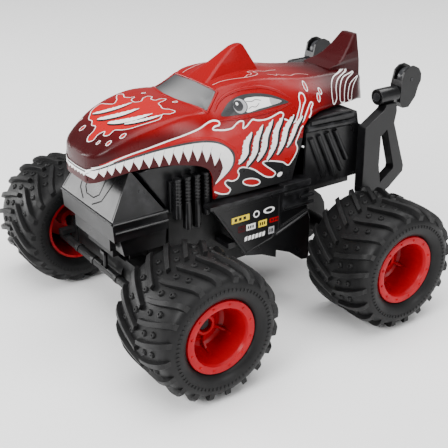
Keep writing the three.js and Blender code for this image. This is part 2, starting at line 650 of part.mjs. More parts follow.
function wheelieFork(side) {
  const x = side * FORK_X;
  const arc = [];
  for (let i = 0; i <= 6; i += 1) {
    const angle = Math.PI * (0.78 - (i / 6) * 1.02);
    arc.push([ROLLER.y + 9.4 * Math.cos(angle), ROLLER.z + 9.4 * Math.sin(angle)]);
  }
  const outline = [[119.5, 132], [119.5, 143.2], ...arc, [134, 134], [128, 127.4], [122.6, 127.6]];
  const cheeks = plateX([...outline].reverse(), x - 5.2, x + 5.2);
  const slot = join(
    box(x - 3.6, x + 3.6, 120.4, 145, 138.8, 160),
    rod('x', [x, ROLLER.y, ROLLER.z], 8.6, 7.2, 16));
  const pinHole = rod('x', [x, ROLLER.y, ROLLER.z], 1.3, 20, 16);
  const screwHole = rod('y', [x, 121, 137.6], 1.35, 5, 16);
  return cut(cheeks, slot, pinHole, screwHole);
}

function wheelieRoller(side) {
  const x = side * FORK_X;
  const w = ROLLER.width / 2;
  const r = ROLLER.radius;
  const profile = [
    [w, 1.3], [w, r - 1.6], [w - 1.2, r - 0.3], [0, r], [-w + 1.2, r - 0.3], [-w, r - 1.6], [-w, 1.3],
  ];
  return turned(profile, 16).translate([x, ROLLER.y, ROLLER.z]);
}

function rollerPin(side) {
  return rod('x', [side * FORK_X, ROLLER.y, ROLLER.z], 1.2, 11, 16);
}

function wheelieScrew(side) {
  const x = side * FORK_X;
  return join(rod('y', [x, 102.8, 137.6], 3.2, 2, 16), rod('y', [x, 112.8, 137.6], 1.25, 19, 16));
}

// ---------- assembly ----------

const COLOURS = {
  red: 0xd8141c, black: 0x17181a, glass: 0x6f7678, tyre: 0x26262a, rim: 0xe01425, steel: 0xa9adb0,
  white: 0xe9e6dc, green: 0x1f6b43, amber: 0xb98a2e, blue: 0x2b4f8a,
};

const group = new THREE.Group();

function add(name, solid, colour, roughness = 0.5, metalness = 0) {
  const material = new THREE.MeshStandardMaterial({ color: COLOURS[colour], roughness, metalness });
  const mesh = new THREE.Mesh(toGeometry(solid), material);
  mesh.name = name;
  group.add(mesh);
}

const SIDES = [['left', 1], ['right', -1]];

add('body_shell', shell(), 'red', 0.3);
add('windscreen', windscreen(), 'glass', 0.15);
add('front_bumper', bumper(), 'black');
add('front_cowl', cowl(), 'black');
add('chassis_tub', chassisTub(), 'black');
add('rear_bed', rearBed(), 'black');
for (const [name, side] of SIDES) {
  add(`headers_${name}`, headers(side), 'black');
  add(`sill_${name}`, sill(side), 'black');
  add(`wheelie_frame_${name}`, wheelieFrame(side), 'black');
  add(`wheelie_fork_${name}`, wheelieFork(side), 'black');
  add(`wheelie_roller_${name}`, wheelieRoller(side), 'black');
  add(`roller_pin_${name}`, rollerPin(side), 'steel', 0.3, 1);
  add(`wheelie_screw_${name}`, wheelieScrew(side), 'steel', 0.3, 1);
  add(`knuckle_${name}`, knuckle(side), 'black');
  add(`kingpin_${name}`, kingpin(side), 'steel', 0.3, 1);
}
add('front_axle_beam', frontBeam(), 'black');
add('tie_rod', tieRod(), 'black');
add('steering_servo', steeringServo(), 'blue');
add('servo_horn', servoHorn(), 'white');
add('gearbox_case', gearboxCase(), 'black');
add('gearbox_cover', gearboxCover(), 'black');
const rearShaft = rod('x', [0, REAR_Y, AXLE_Z], STUB_RADIUS, 2 * (TRACK_X + HUB_END), 24);
add('rear_axle_shaft', rearShaft, 'steel', 0.3, 1);
add('axle_gear', axleGear(), 'white');
add('drive_motor', driveMotor(), 'steel', 0.35, 1);
add('motor_pinion', motorPinion(), 'amber', 0.3, 1);
add('battery_pack', batteryPack(), 'blue');
add('battery_door', batteryDoor(), 'black');
add('battery_door_screw', doorScrew(), 'steel', 0.3, 1);
add('circuit_board', circuitBoard(), 'green');
add('power_switch', powerSwitch(), 'white');
POST_SPOTS.forEach((spot, i) => add(`body_screw_${i + 1}`, bodyScrew(spot), 'steel', 0.3, 1));

const tyreSolid = tyre();
const rimSolid = rim();
for (const wheel of WHEELS) {
  const out = wheel.flip ? -1 : 1;
  add(`tyre_${wheel.name}`, placed(tyreSolid, wheel), 'tyre', 0.8);
  add(`rim_${wheel.name}`, placed(rimSolid, wheel), 'rim', 0.35);
  const nut = wheelNut().translate([out * (TRACK_X + 5.1), wheel.y, AXLE_Z]);
  add(`wheel_nut_${wheel.name}`, nut, 'steel', 0.3, 1);
}

// The origin sits under the middle of the whole truck, on the ground.
const bounds = new THREE.Box3().setFromObject(group);
const middle = (bounds.min.y + bounds.max.y) / 2;
for (const mesh of group.children) {
  mesh.geometry.translate(0, -middle, -bounds.min.z);
}

export default group;
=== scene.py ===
import json
import math
from contextlib import contextmanager
import bpy
import bmesh
import numpy as np
from mathutils import Vector, Matrix
from mathutils.bvhtree import BVHTree
from mathutils.geometry import delaunay_2d_cdt

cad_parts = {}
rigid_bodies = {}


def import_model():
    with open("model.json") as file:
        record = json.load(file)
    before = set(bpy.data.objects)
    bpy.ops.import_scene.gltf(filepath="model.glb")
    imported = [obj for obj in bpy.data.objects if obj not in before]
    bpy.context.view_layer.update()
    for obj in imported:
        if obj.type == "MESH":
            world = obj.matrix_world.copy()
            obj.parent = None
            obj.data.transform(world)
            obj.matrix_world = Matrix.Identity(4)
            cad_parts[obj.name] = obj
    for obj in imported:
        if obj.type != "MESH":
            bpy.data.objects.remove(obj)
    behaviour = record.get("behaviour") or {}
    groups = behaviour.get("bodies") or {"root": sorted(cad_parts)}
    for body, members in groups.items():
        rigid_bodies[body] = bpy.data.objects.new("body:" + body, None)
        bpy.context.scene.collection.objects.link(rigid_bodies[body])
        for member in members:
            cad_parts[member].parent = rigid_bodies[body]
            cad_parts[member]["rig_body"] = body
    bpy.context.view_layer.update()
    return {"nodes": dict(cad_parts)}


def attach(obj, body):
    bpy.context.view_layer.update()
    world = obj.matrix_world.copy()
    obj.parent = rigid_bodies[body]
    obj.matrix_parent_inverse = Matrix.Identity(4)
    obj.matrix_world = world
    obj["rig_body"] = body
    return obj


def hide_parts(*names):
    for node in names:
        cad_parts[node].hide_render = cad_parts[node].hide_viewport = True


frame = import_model()
NODES = frame["nodes"]
MM = 0.001
FRONT_Y, REAR_Y, AXLE_Z, TRACK_X = -83.9, 61.1, 42.9, 89.4
Y_SHIFT = -11.39

# ---------- materials ----------


class Graph:
    """A material's node tree with short ways to add and join nodes."""

    def __init__(self, name):
        self.material = bpy.data.materials.new(name)
        self.material.use_nodes = True
        self.tree = self.material.node_tree
        self.shader = self.tree.nodes["Principled BSDF"]
        self.place = self.node("ShaderNodeTexCoord").outputs["Object"]

    def node(self, kind, **settings):
        made = self.tree.nodes.new(kind)
        for key, value in settings.items():
            setattr(made, key, value)
        return made

    def link(self, source, target):
        self.tree.links.new(source, target)

    def noise(self, scale, detail=3.0, stretch=(1, 1, 1)):
        mapping = self.node("ShaderNodeMapping")
        mapping.inputs["Scale"].default_value = stretch
        self.link(self.place, mapping.inputs["Vector"])
        made = self.node("ShaderNodeTexNoise")
        made.inputs["Scale"].default_value = scale
        made.inputs["Detail"].default_value = detail
        self.link(mapping.outputs["Vector"], made.inputs["Vector"])
        return made.outputs["Fac"]

    def ranged(self, value, low, high, to_low=0.0, to_high=1.0, smooth=False):
        made = self.node("ShaderNodeMapRange")
        if smooth:
            made.interpolation_type = "SMOOTHSTEP"
        self.link(value, made.inputs["Value"])
        for key, number in zip(("From Min", "From Max", "To Min", "To Max"), (low, high, to_low, to_high)):
            made.inputs[key].default_value = number
        return made.outputs["Result"]

    def math(self, operation, a, b):
        made = self.node("ShaderNodeMath", operation=operation)
        for socket, value in zip(made.inputs, (a, b)):
            if isinstance(value, (int, float)):
                socket.default_value = value
            else:
                self.link(value, socket)
        return made.outputs[0]

    def mix(self, factor, a, b):
        made = self.node("ShaderNodeMix", data_type="RGBA")
        if isinstance(factor, (int, float)):
            made.inputs[0].default_value = factor
        else:
            self.link(factor, made.inputs[0])
        for index, value in ((6, a), (7, b)):
            if isinstance(value, tuple):
                made.inputs[index].default_value = (*value, 1)
            else:
                self.link(value, made.inputs[index])
        return made.outputs[2]

    def axes(self):
        split = self.node("ShaderNodeSeparateXYZ")
        self.link(self.place, split.inputs[0])
        return split.outputs

    def bump(self, height, strength, distance=0.0002):
        made = self.node("ShaderNodeBump")
        made.inputs["Strength"].default_value = strength
        made.inputs["Distance"].default_value = distance
        self.link(height, made.inputs["Height"])
        self.link(made.outputs["Normal"], self.shader.inputs["Normal"])

    def edges(self, low=0.52, high=0.62):
        pointy = self.node("ShaderNodeNewGeometry").outputs["Pointiness"]
        return self.ranged(pointy, low, high)


def plastic(name, dark, light, rough=(0.3, 0.45), grain=1400, bump=0.12, wear=None, coat=0.0, specular=0.3):
    """Moulded plastic: mottled colour, fine grain, uneven gloss and lighter worn edges."""
    g = Graph(name)
    blotch = g.ranged(g.noise(55, 4), 0.35, 0.65)
    colour = g.mix(blotch, dark, light)
    if wear:
        worn = g.math("MULTIPLY", g.edges(), g.ranged(g.noise(160, 5), 0.4, 0.7))
        colour = g.mix(worn, colour, wear)
    g.link(colour, g.shader.inputs["Base Color"])
    fine = g.noise(grain, 5)
    g.link(g.ranged(g.noise(90, 5), 0.3, 0.7, *rough), g.shader.inputs["Roughness"])
    g.bump(fine, bump)
    g.shader.inputs["Specular IOR Level"].default_value = specular
    if coat:
        g.shader.inputs["Coat Weight"].default_value = coat
        g.shader.inputs["Coat Roughness"].default_value = 0.08
    return g.material


def metal(name, colour, rough=(0.22, 0.42), brushed=(1, 1, 1)):
    g = Graph(name)
    tone = g.mix(g.ranged(g.noise(120, 4, brushed), 0.35, 0.65), tuple(c * 0.72 for c in colour), colour)
    g.link(tone, g.shader.inputs["Base Color"])
    g.shader.inputs["Metallic"].default_value = 1.0
    g.link(g.ranged(g.noise(300, 5, brushed), 0.3, 0.7, *rough), g.shader.inputs["Roughness"])
    g.bump(g.noise(900, 4, brushed), 0.1)
    return g.material


BRIGHT = (0.26, 0.0, 0.0020)
# A deeper red for the painted shade on the flanks.
PAINTED_SHADE_RED = (0.16, 0.0, 0.0013)
MAROON = (0.034, 0.0010, 0.0018)


def painted_shell():
    """Gloss red shell, fading to maroon on the nose and on the tail fin, with painted shade that darkens the
    flanks below the shoulder and turns the front of the flanks towards maroon.
    """
    g = Graph("shell_paint")
    x, y, z = g.axes()
    nose = g.ranged(y, -0.062, -0.108, 0, 1, True)
    # Painted shade: the front of the flanks, below the shoulder, darkens towards maroon.
    flank = g.ranged(z, 0.146, 0.136, 0, 1, True)
    cheek_painted_shade = g.math("MULTIPLY", g.ranged(y, -0.01, -0.075, 0, 0.8, True), flank)
    tail = g.math("MULTIPLY", g.ranged(y, 0.026, 0.074, 0, 1, True), g.ranged(z, 0.2, 0.12, 0.96, 1))
    soft = g.ranged(g.noise(14, 3), 0.3, 0.7)
    red = g.mix(soft, (0.225, 0.0, 0.0018), BRIGHT)
    # Painted shade: the flanks turn a deeper red below the shoulder.
    red = g.mix(g.ranged(z, 0.152, 0.134, 0.0, 0.45, True), red, PAINTED_SHADE_RED)
    # Maroon for the nose paint and for the painted shade on the front of the flanks.
    colour = g.mix(g.math("MAXIMUM", nose, cheek_painted_shade), red, MAROON)
    colour = g.mix(tail, colour, (0.030, 0.0009, 0.0018))
    worn = g.math("MULTIPLY", g.edges(0.56, 0.68), g.ranged(g.noise(220, 5), 0.5, 0.75, 0, 0.5))
    colour = g.mix(worn, colour, (0.5, 0.06, 0.05))
    g.link(colour, g.shader.inputs["Base Color"])
    g.link(g.ranged(g.noise(70, 4), 0.3, 0.7, 0.24, 0.32), g.shader.inputs["Roughness"])
    g.bump(g.noise(420, 3), 0.035)
    g.shader.inputs["Specular IOR Level"].default_value = 0.2
    return g.material


def ink(name, colour, second=None, rough=(0.25, 0.36)):
    """Printed ink on the shell: a little uneven, with fine speckle."""
    g = Graph(name)
    second = second or tuple(c * 0.86 for c in colour)
    tone = g.mix(g.ranged(g.noise(30, 4), 0.3, 0.7), colour, second)
    speck = g.ranged(g.noise(1500, 2), 0.72, 0.78, 0, 0.25)
    tone = g.mix(speck, tone, tuple(c * 0.6 for c in colour))
    g.link(tone, g.shader.inputs["Base Color"])
    g.link(g.ranged(g.noise(120, 4), 0.3, 0.7, *rough), g.shader.inputs["Roughness"])
    g.bump(g.noise(500, 3), 0.03)
    g.shader.inputs["Specular IOR Level"].default_value = 0.2
    return g.material


def rubber():
    g = Graph("tyre_rubber_fine")
    dust = g.ranged(g.noise(38, 6), 0.4, 0.75, 0, 0.5)
    colour = g.mix(dust, (0.0034, 0.0034, 0.0037), (0.0062, 0.0061, 0.0061))
    edge = g.math("MULTIPLY", g.edges(0.5, 0.6), g.ranged(g.noise(200, 4), 0.3, 0.7, 0.1, 0.55))
    colour = g.mix(edge, colour, (0.022, 0.022, 0.022))
    g.link(colour, g.shader.inputs["Base Color"])
    g.link(g.ranged(g.noise(80, 5), 0.3, 0.7, 0.4, 0.58), g.shader.inputs["Roughness"])
    g.bump(g.noise(1100, 6), 0.14, 0.0003)
    g.shader.inputs["Specular IOR Level"].default_value = 0.2
    return g.material


def screen_grey():
    """Smoked windscreen film, darker at the sides, with a painted reflection that makes it pale in the middle
    and a mid grey towards the back.
    """
    g = Graph("window_film")
    x, y, z = g.axes()
    # Painted reflection: pale across the middle, dark towards the sides.
    across = g.ranged(g.math("ABSOLUTE", g.math("ADD", x, -0.006), 0), 0.004, 0.036, 0, 1, True)
    colour = g.mix(across, (0.20, 0.20, 0.20), (0.014, 0.0146, 0.0155))
    # Painted reflection: towards the back the screen turns a mid grey.
    colour = g.mix(g.ranged(y, -0.046, -0.03, 0, 0.35, True), colour, (0.07, 0.072, 0.075))
    g.link(colour, g.shader.inputs["Base Color"])
    g.link(g.ranged(g.noise(60, 4), 0.3, 0.7, 0.16, 0.24), g.shader.inputs["Roughness"])
    g.shader.inputs["Specular IOR Level"].default_value = 0.3
    g.bump(g.noise(240, 3), 0.03)
    return g.material


def board():
    g = Graph("board_mask")
    x, y, z = g.axes()
    wave = g.node("ShaderNodeTexWave", bands_direction="X")
    wave.inputs["Scale"].default_value = 260
    wave.inputs["Distortion"].default_value = 6
    wave.inputs["Detail"].default_value = 1
    g.link(g.place, wave.inputs["Vector"])
    traces = g.ranged(wave.outputs["Fac"], 0.62, 0.7)
    colour = g.mix(traces, (0.012, 0.16, 0.06), (0.03, 0.30, 0.12))
    g.link(g.mix(g.ranged(z, 0.0671, 0.0673), colour, (0.025, 0.025, 0.028)), g.shader.inputs["Base Color"])
    g.link(g.ranged(g.noise(200, 3), 0.3, 0.7, 0.25, 0.4), g.shader.inputs["Roughness"])
    g.bump(wave.outputs["Fac"], 0.2)
    return g.material


BLACK = plastic("black_satin", (0.0030, 0.0030, 0.0034), (0.0045, 0.0045, 0.0050), (0.27, 0.33), 1500, 0.08,
                (0.022, 0.022, 0.024))
BLACK_ROUGH = plastic("black_matt", (0.0028, 0.0028, 0.0030), (0.0045, 0.0045, 0.0048), (0.42, 0.55), 900,
                      0.2,
                      (0.02, 0.02, 0.02))
GREY_BLACK = plastic("grey_black_satin", (0.016, 0.0165, 0.018), (0.022, 0.0225, 0.025), (0.22, 0.32),
                     1500, 0.08,
                     (0.06, 0.06, 0.065))
RIM_RED = plastic("rim_red_fine", (0.29, 0.0, 0.0050), (0.35, 0.0, 0.0066), (0.28, 0.38), 1300, 0.08,
                  (0.5, 0.008, 0.01), 0.0, 0.16)
# Dark matt colour for the painted shade in the bumper's engraved lines, also used to mark cutter faces that
# are removed.
PAINTED_GROOVE_SHADE = plastic("groove_painted_shade", (0.0015, 0.0015, 0.0015), (0.003, 0.003, 0.003), (0.6, 0.8), 900, 0.1)
NYLON = plastic("nylon_white", (0.74, 0.72, 0.66), (0.86, 0.84, 0.78), (0.35, 0.5), 1100, 0.12, (0.93,
    0.92, 0.88))
SERVO = plastic("servo_blue", (0.02, 0.05, 0.16), (0.03, 0.08, 0.24), (0.3, 0.45), 1200, 0.12, (0.1, 0.16,
    0.34))
WRAP = plastic("battery_film", (0.03, 0.08, 0.22), (0.05, 0.13, 0.32), (0.16, 0.28), 200, 0.2, (0.2, 0.3,
    0.5), 0.3)
STEEL = metal("steel_bright", (0.62, 0.63, 0.65))
MOTOR = metal("motor_can", (0.55, 0.56, 0.58), (0.2, 0.4), (1, 12, 12))
BRASS = metal("brass_cut", (0.78, 0.55, 0.22))
PAINT = painted_shell()
FLAT_RED = ink("ink_red", (0.34, 0.0, 0.0028), (0.29, 0.0, 0.0024))
DARK_RED = ink("ink_dark_red", (0.050, 0.0014, 0.0028), (0.036, 0.001, 0.002))
WHITE = ink("ink_white", (0.86, 0.86, 0.85), (0.78, 0.77, 0.76))
PINK = ink("ink_pink", (0.78, 0.42, 0.40), (0.72, 0.34, 0.32))
INK_BLACK = ink("ink_black", (0.006, 0.006, 0.0065), (0.009, 0.009, 0.0095))
INK_GREY = ink("ink_grey", (0.030, 0.030, 0.032), (0.045, 0.045, 0.047))
SILVER = ink("ink_silver", (0.30, 0.30, 0.31), (0.42, 0.42, 0.44))
YELLOW = ink("ink_yellow", (0.80, 0.62, 0.05), (0.72, 0.52, 0.03))
RUBBER = rubber()
WINDOW = screen_grey()
BOARD = board()

# ---------- helpers ----------


def piece(name, mesh, material, body, node=None, slot=None, angle=32.0):
    """Links a finished mesh as one visible piece that rides on a body."""
    made = bpy.data.objects.new(name, mesh)
    bpy.context.scene.collection.objects.link(made)
    if material and not mesh.materials:
        mesh.materials.append(material)
    mesh.shade_smooth()
    mesh.set_sharp_from_angle(angle=math.radians(angle))
    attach(made, body)
    if node:
        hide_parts(node)
    return made


@contextmanager
def edited(mesh, result=None):
    """Opens a mesh for editing and writes it back, or into the result."""
    bm = bmesh.new()
    bm.from_mesh(mesh)
    yield bm
    bm.to_mesh(result or mesh)
    bm.free()


def mesh_of(name, verts, faces):
    mesh = bpy.data.meshes.new(name)
    mesh.from_pydata([tuple(v) for v in verts], [], faces)
    mesh.validate()
    mesh.update()
    return mesh


def bevelled(obj, width, segments=2, angle=34):
    edge = obj.modifiers.new("edges", "BEVEL")
    edge.width = width * MM
    edge.segments = segments
    edge.limit_method = "ANGLE"
    edge.angle_limit = math.radians(angle)
    edge.harden_normals = True
    obj.modifiers.new("normals", "WEIGHTED_NORMAL").keep_sharp = True
    return obj


def crisp(name, material, width=0.35, segments=2):
    """A CAD node's shape with its flat faces joined and its edges rounded."""
    node = NODES[name]
    mesh = bpy.data.meshes.new(name + "_fine")
    with edited(node.data, mesh) as bm:
        bmesh.ops.remove_doubles(bm, verts=bm.verts, dist=2e-6)
        bmesh.ops.dissolve_limit(bm, angle_limit=math.radians(1.2), verts=bm.verts, edges=bm.edges,
                                 use_dissolve_boundaries=False)
    made = piece(name + "_fine", mesh, material, node["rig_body"], name)
    if width:
        bevelled(made, width, segments)
    return made


def catmull(points, count, closed=False):
    """A smooth line through the points, by the centripetal rule."""
    pts = [np.array(p, float) for p in points]
    n = len(pts)
    spans = n if closed else n - 1
    out = []
    for i in range(count if closed else count + 1):
        s = i / count * spans
        k = min(int(s), spans - 1)
        t = s - k
        p1, p2 = pts[k % n], pts[(k + 1) % n]
        p0 = pts[(k - 1) % n] if closed or k > 0 else 2 * p1 - p2
        p3 = pts[(k + 2) % n] if closed or k + 2 < n else 2 * p2 - p1
        d = [max(np.linalg.norm(b - a) ** 0.5, 1e-6) for a, b in ((p0, p1), (p1, p2), (p2, p3))]
        m1 = ((p1 - p0) / d[0] - (p2 - p0) / (d[0] + d[1]) + (p2 - p1) / d[1]) * d[1]
        m2 = ((p2 - p1) / d[1] - (p3 - p1) / (d[1] + d[2]) + (p3 - p2) / d[2]) * d[1]
        out.append(p1 + m1 * t + (3 * (p2 - p1) - 2 * m1 - m2) * t * t + (2 * (p1 - p2) + m1 + m2) * t ** 3)
    return out


def inside(poly, u, v):
    hit = False
    for (a, b), (c, d) in zip(poly, poly[1:] + poly[:1]):
        if (b > v) != (d > v) and u < (c - a) * (v - b) / (d - b) + a:
            hit = not hit
    return hit


def loft(rings, cap=True):
    """Rings of equal count joined in order, with flat ends."""
    count = len(rings[0])
    verts = [p for ring in rings for p in ring]
    faces = []
    for r in range(len(rings) - 1):
        for i in range(count):
            j = (i + 1) % count
            faces.append((r * count + i, r * count + j, (r + 1) * count + j, (r + 1) * count + i))
    if cap:
        faces.append(tuple(reversed(range(count))))
        faces.append(tuple((len(rings) - 1) * count + i for i in range(count)))
    return verts, faces


def outward(verts, faces, name):
    mesh = mesh_of(name, [[c * MM for c in v] for v in verts], faces)
    with edited(mesh) as bm:
        bmesh.ops.recalc_face_normals(bm, faces=bm.faces)
    return mesh


def loose(name, mesh):
    made = bpy.data.objects.new(name, mesh)
    bpy.context.scene.collection.objects.link(made)
    return made


def baked(obj, modifiers):
    """The object's mesh after a list of boolean modifiers, as new mesh data."""
    for operation, other in modifiers:
        step = obj.modifiers.new("cut", "BOOLEAN")
        step.operation = operation
        step.object = other
        step.solver = "EXACT"
    bpy.context.view_layer.update()
    result = bpy.data.meshes.new_from_object(obj.evaluated_get(bpy.context.evaluated_depsgraph_get()))
    for gone in [obj] + [other for _, other in modifiers]:
        bpy.data.objects.remove(gone)
    return result


# ---------- body shell ----------

# Stations from nose to tail: y, crown height, shoulder edge, upper flank, widest flank.
STATIONS = [
    (-101.5, 127.6, 9, 127.2, 10.4, 121, 10.9, 111), (-100.3, 128.8, 14, 128.2, 15.4, 121, 15.9, 111),
    (-98, 130.6, 18.2, 129.9, 19.8, 122, 20.4, 112), (-94, 133.3, 21.6, 132.4, 23.6, 123, 24.2, 113),
    (-87, 137.8, 24.8, 136.4, 27.4, 125.5, 28.3, 115), (-77, 142.6, 29.2, 140.8, 31.8, 129, 32.6, 118),
    (-66, 146.6, 31.8, 144.4, 35, 132, 36.2, 119), (-55, 149, 33.2, 146.9, 37.4, 134, 39, 120),
    (-44, 150.2, 33.6, 148.3, 39, 135, 41.2, 120), (-34.5, 150.4, 33.4, 148, 39.8, 136, 42.6, 120),
    (-26, 153.4, 31.6, 147.8, 39, 138, 43.6, 121), (-15, 157.4, 25.6, 156, 37.4, 144, 44.4, 121),
    (-8, 159.6, 26.4, 158.6, 36.8, 147, 44.8, 121), (6, 160.9, 27, 159.8, 36.8, 148, 45.2, 121),
    (21, 160.9, 27, 159, 37.2, 147, 45.4, 121), (36, 159, 26.4, 156.8, 37, 144.5, 45.4, 122),
    (50, 156.2, 24.8, 154, 36.2, 142.5, 44.4, 124), (65, 153.8, 22.4, 151.8, 33.6, 141.5, 41.6, 127),
    (80, 152.4, 20, 150.6, 30.6, 140.5, 38, 128), (95, 151.4, 17.6, 149.2, 26.6, 139.5, 32.6, 128),
    (107, 150, 15.2, 147, 21.6, 138.5, 26, 127), (114, 148, 13, 145, 16.8, 137.5, 19.4, 126),
    (118.5, 146, 10.6, 143, 12.4, 137, 13.8, 126),
]
LOWER = [
    (-101.6, 110), (-99.5, 111.6), (-93, 115.2), (-84.5, 118), (-77, 119.7), (-67, 120.4), (-58, 120.4),
    (-47, 119), (-38, 116.7), (-32.5, 113), (-30, 107.5), (-29.7, 93), (31, 93), (35, 106.6), (38.6, 118.3),
    (41.7, 127.8), (46, 131.4), (58, 134), (76, 134.2), (103, 131.8), (113, 128.6), (135, 125),
]
DORSAL = [(154.5, -18, 12.5, 33.5, 9), (158.8, -12.2, 11, 31.4, 8), (166.5, -0.6, 6.6, 27.6, 5.2),
          (175.4, 12.6, 3.4, 22.6, 2.8), (176.6, 16.5, 2.6, 21, 2.4)]
TAIL = [(129.4, 92, 12, 117.2, 13.6), (137, 87, 13.6, 119.6, 10.8), (152.4, 86.4, 14, 120.6, 8.6),
        (154.6, 96.6, 13.2, 120.4, 8.3), (157.4, 101.8, 11.6, 120.2, 8), (163, 107.8, 9.4, 119.6, 7.4),
        (171.1, 114.6, 6.9, 118.8, 6.6)]


def section(top, ex, ez, ux, uz, wx, wz, samples=26):
    control = [(wx + 0.4, 86), (wx + 0.2, (wz + 86) / 2), (wx, wz), (ux, uz), (ex + 1.2, ez - 1.6),
               (ex - 1, ez + 0.1), (ex * 0.5, (ez + 2 * top) / 3), (0, top)]
    return catmull(control, samples)


def shell_rings():
    """The CAD's own sections, then points in between along smooth lines from nose to tail."""
    halves = [section(*s[1:]) for s in STATIONS]
    ys = [s[0] for s in STATIONS]
    columns = []
    for i in range(len(halves[0])):
        columns.append(catmull([(h[i][0], y, h[i][1]) for h, y in zip(halves, ys)], 4 * (len(ys) - 1)))
    rings = []
    for step in range(len(columns[0])):
        half = [tuple(c[step]) for c in columns]
        rings.append(half + [(-x, y, z) for x, y, z in reversed(half[:-1])])
    return rings


def fin_rings(levels, corner, steps):
    """Fin levels with rounded corners."""
    out = []
    spans = len(levels) - 1
    for step in range(steps + 1):
        k = min(int(step / steps * spans), spans - 1)
        t = step / steps * spans - k
        z, y0, w0, y1, w1 = (a + (b - a) * t for a, b in zip(levels[k], levels[k + 1]))
        ring = []
        for cx, cy, start in ((-w0, y0, 180), (w0, y0, 270), (w1, y1, 0), (-w1, y1, 90)):
            r = min(corner, w0 * 0.7, w1 * 0.7, (y1 - y0) * 0.45)
            mx, my = cx - math.copysign(r, cx), cy + (r if cy == y0 else -r)
            for k in range(6):
                turn = math.radians(start + 18 * k)
                ring.append((mx + r * math.cos(turn), my + r * math.sin(turn), z))
        out.append(ring)
    last = out[-1]
    cx = sum(p[0] for p in last) / len(last)
    cy = sum(p[1] for p in last) / len(last)
    out.append([(cx + (x - cx) * 0.8, cy + (y - cy) * 0.9, z + 0.1) for x, y, z in last])
    return out


def shifted(mesh):
    mesh.transform(Matrix.Translation((0, Y_SHIFT * MM, 0)))
    return mesh


def prism(outline, axis, low, high, name="cutter"):
    """An outline in the two other axes, run along one axis."""
    def point(u, v, w):
        return (w, u, v) if axis == "x" else (u, v, w)
    verts, faces = loft([[point(u, v, low) for u, v in outline], [point(u, v, high) for u, v in outline]])
    mesh = outward(verts, faces, name)
    mesh.materials.append(PAINT)
    mesh.materials.append(PAINTED_GROOVE_SHADE)
    for face in mesh.polygons:
        face.material_index = 1
    return mesh


def screen_outline(grow):
    """The windscreen's outline from above, in whole-shell coordinates."""
    front = []
    for i in range(25):
        x = -31.9 + 63.8 * i / 24
        front.append((x * (1 + grow / 32), -34.4 + 8 * (x / 31.9) ** 2 - grow + Y_SHIFT))
    return front + [(24.6 + grow, -14.9 + grow + Y_SHIFT), (-24.6 - grow, -14.9 + grow + Y_SHIFT)]


def build_shell():
    hull_mesh = shifted(outward(*loft(shell_rings()), "hull"))
    with edited(hull_mesh) as bm:
        surface = BVHTree.FromBMesh(bm)
    hull_mesh.materials.append(PAINT)
    hull_mesh.materials.append(PAINTED_GROOVE_SHADE)
    fins = []
    for levels, corner, name in ((DORSAL, 2.2, "dorsal"), (TAIL, 1.6, "tail")):
        mesh = shifted(outward(*loft(fin_rings(levels, corner, 30)), name))
        mesh.materials.append(PAINT)
        fins.append(loose(name, mesh))
    lower = [(y + Y_SHIFT, z) for y, z in catmull(LOWER[:11], 60)]
    lower = [tuple(p) for p in lower] + [(y + Y_SHIFT, z) for y, z in LOWER[11:]]
    below = lower + [(135, 40), (-135, 40), (-135, 104)]
    cutters = [loose("below", prism(below, "x", -60, 60)),
               loose("glass", prism(screen_outline(0), "z", 144.5, 172))]
    steps = [("UNION", f) for f in fins] + [("DIFFERENCE", c) for c in cutters]
    mesh = baked(loose("hull", hull_mesh), steps)
    with edited(mesh) as bm:
        bmesh.ops.delete(bm, geom=[f for f in bm.faces if f.material_index == 1], context="FACES")
        bmesh.ops.remove_doubles(bm, verts=bm.verts, dist=2e-5)
        bmesh.ops.dissolve_degenerate(bm, dist=2e-5, edges=bm.edges)
    made = piece("body_shell_fine", mesh, PAINT, "chassis", "body_shell", "body_red", 30)
    thick = made.modifiers.new("wall", "SOLIDIFY")
    thick.thickness = 1.8 * MM
    thick.offset = -1
    return surface, [tuple(p) for p in lower]


SURFACE, LOWER_LINE = build_shell()
SIDE_CLIP = LOWER_LINE + [(135, 200), (-135, 200)]


# ---------- thin printed graphics ----------

PRINT_LIFT, LAYER_STEP = 0.16, 0.05

def resampled(points, step, closed=True):
    out = []
    loop = points + points[:1] if closed else points
    for a, b in zip(loop, loop[1:]):
        a, b = np.array(a, float), np.array(b, float)
        pieces = max(1, int(np.linalg.norm(b - a) / step))
        out += [tuple(a + (b - a) * k / pieces) for k in range(pieces)]
    if not closed:
        out.append(tuple(points[-1]))
    return out


def flat_mesh(outline, grid, clip=None):
    """Triangles that fill an outline, with points inside so that they can follow a curved surface."""
    edge = resampled(outline, grid)
    verts = [Vector(p) for p in edge]
    edges = [(i, (i + 1) % len(edge)) for i in range(len(edge))]
    if clip:
        start = len(verts)
        near = resampled(clip, grid * 2)
        us, vs = zip(*outline)
        near = [p for p in near if min(us) - 6 < p[0] < max(us) + 6 and min(vs) - 6 < p[1] < max(vs) + 6]
        verts += [Vector(p) for p in near]
        for i in range(len(near) - 1):
            if math.dist(near[i], near[i + 1]) < 3 * grid:
                edges.append((start + i, start + i + 1))
    us, vs = zip(*outline)
    u = min(us) + grid / 2
    row = 0
    while u < max(us):
        v = min(vs) + grid * (0.5 if row % 2 else 1.0)
        while v < max(vs):
            if inside(edge, u, v):
                verts.append(Vector((u, v)))
            v += grid
        u += grid * 0.87
        row += 1
    co, _, faces, *_ = delaunay_2d_cdt(verts, edges, [], 0, 1e-5)
    kept = []
    for face in faces:
        cu = sum(co[i][0] for i in face) / len(face)
        cv = sum(co[i][1] for i in face) / len(face)
        if inside(edge, cu, cv) and (clip is None or inside(clip, cu, cv)):
            kept.append(face)
    return co, kept


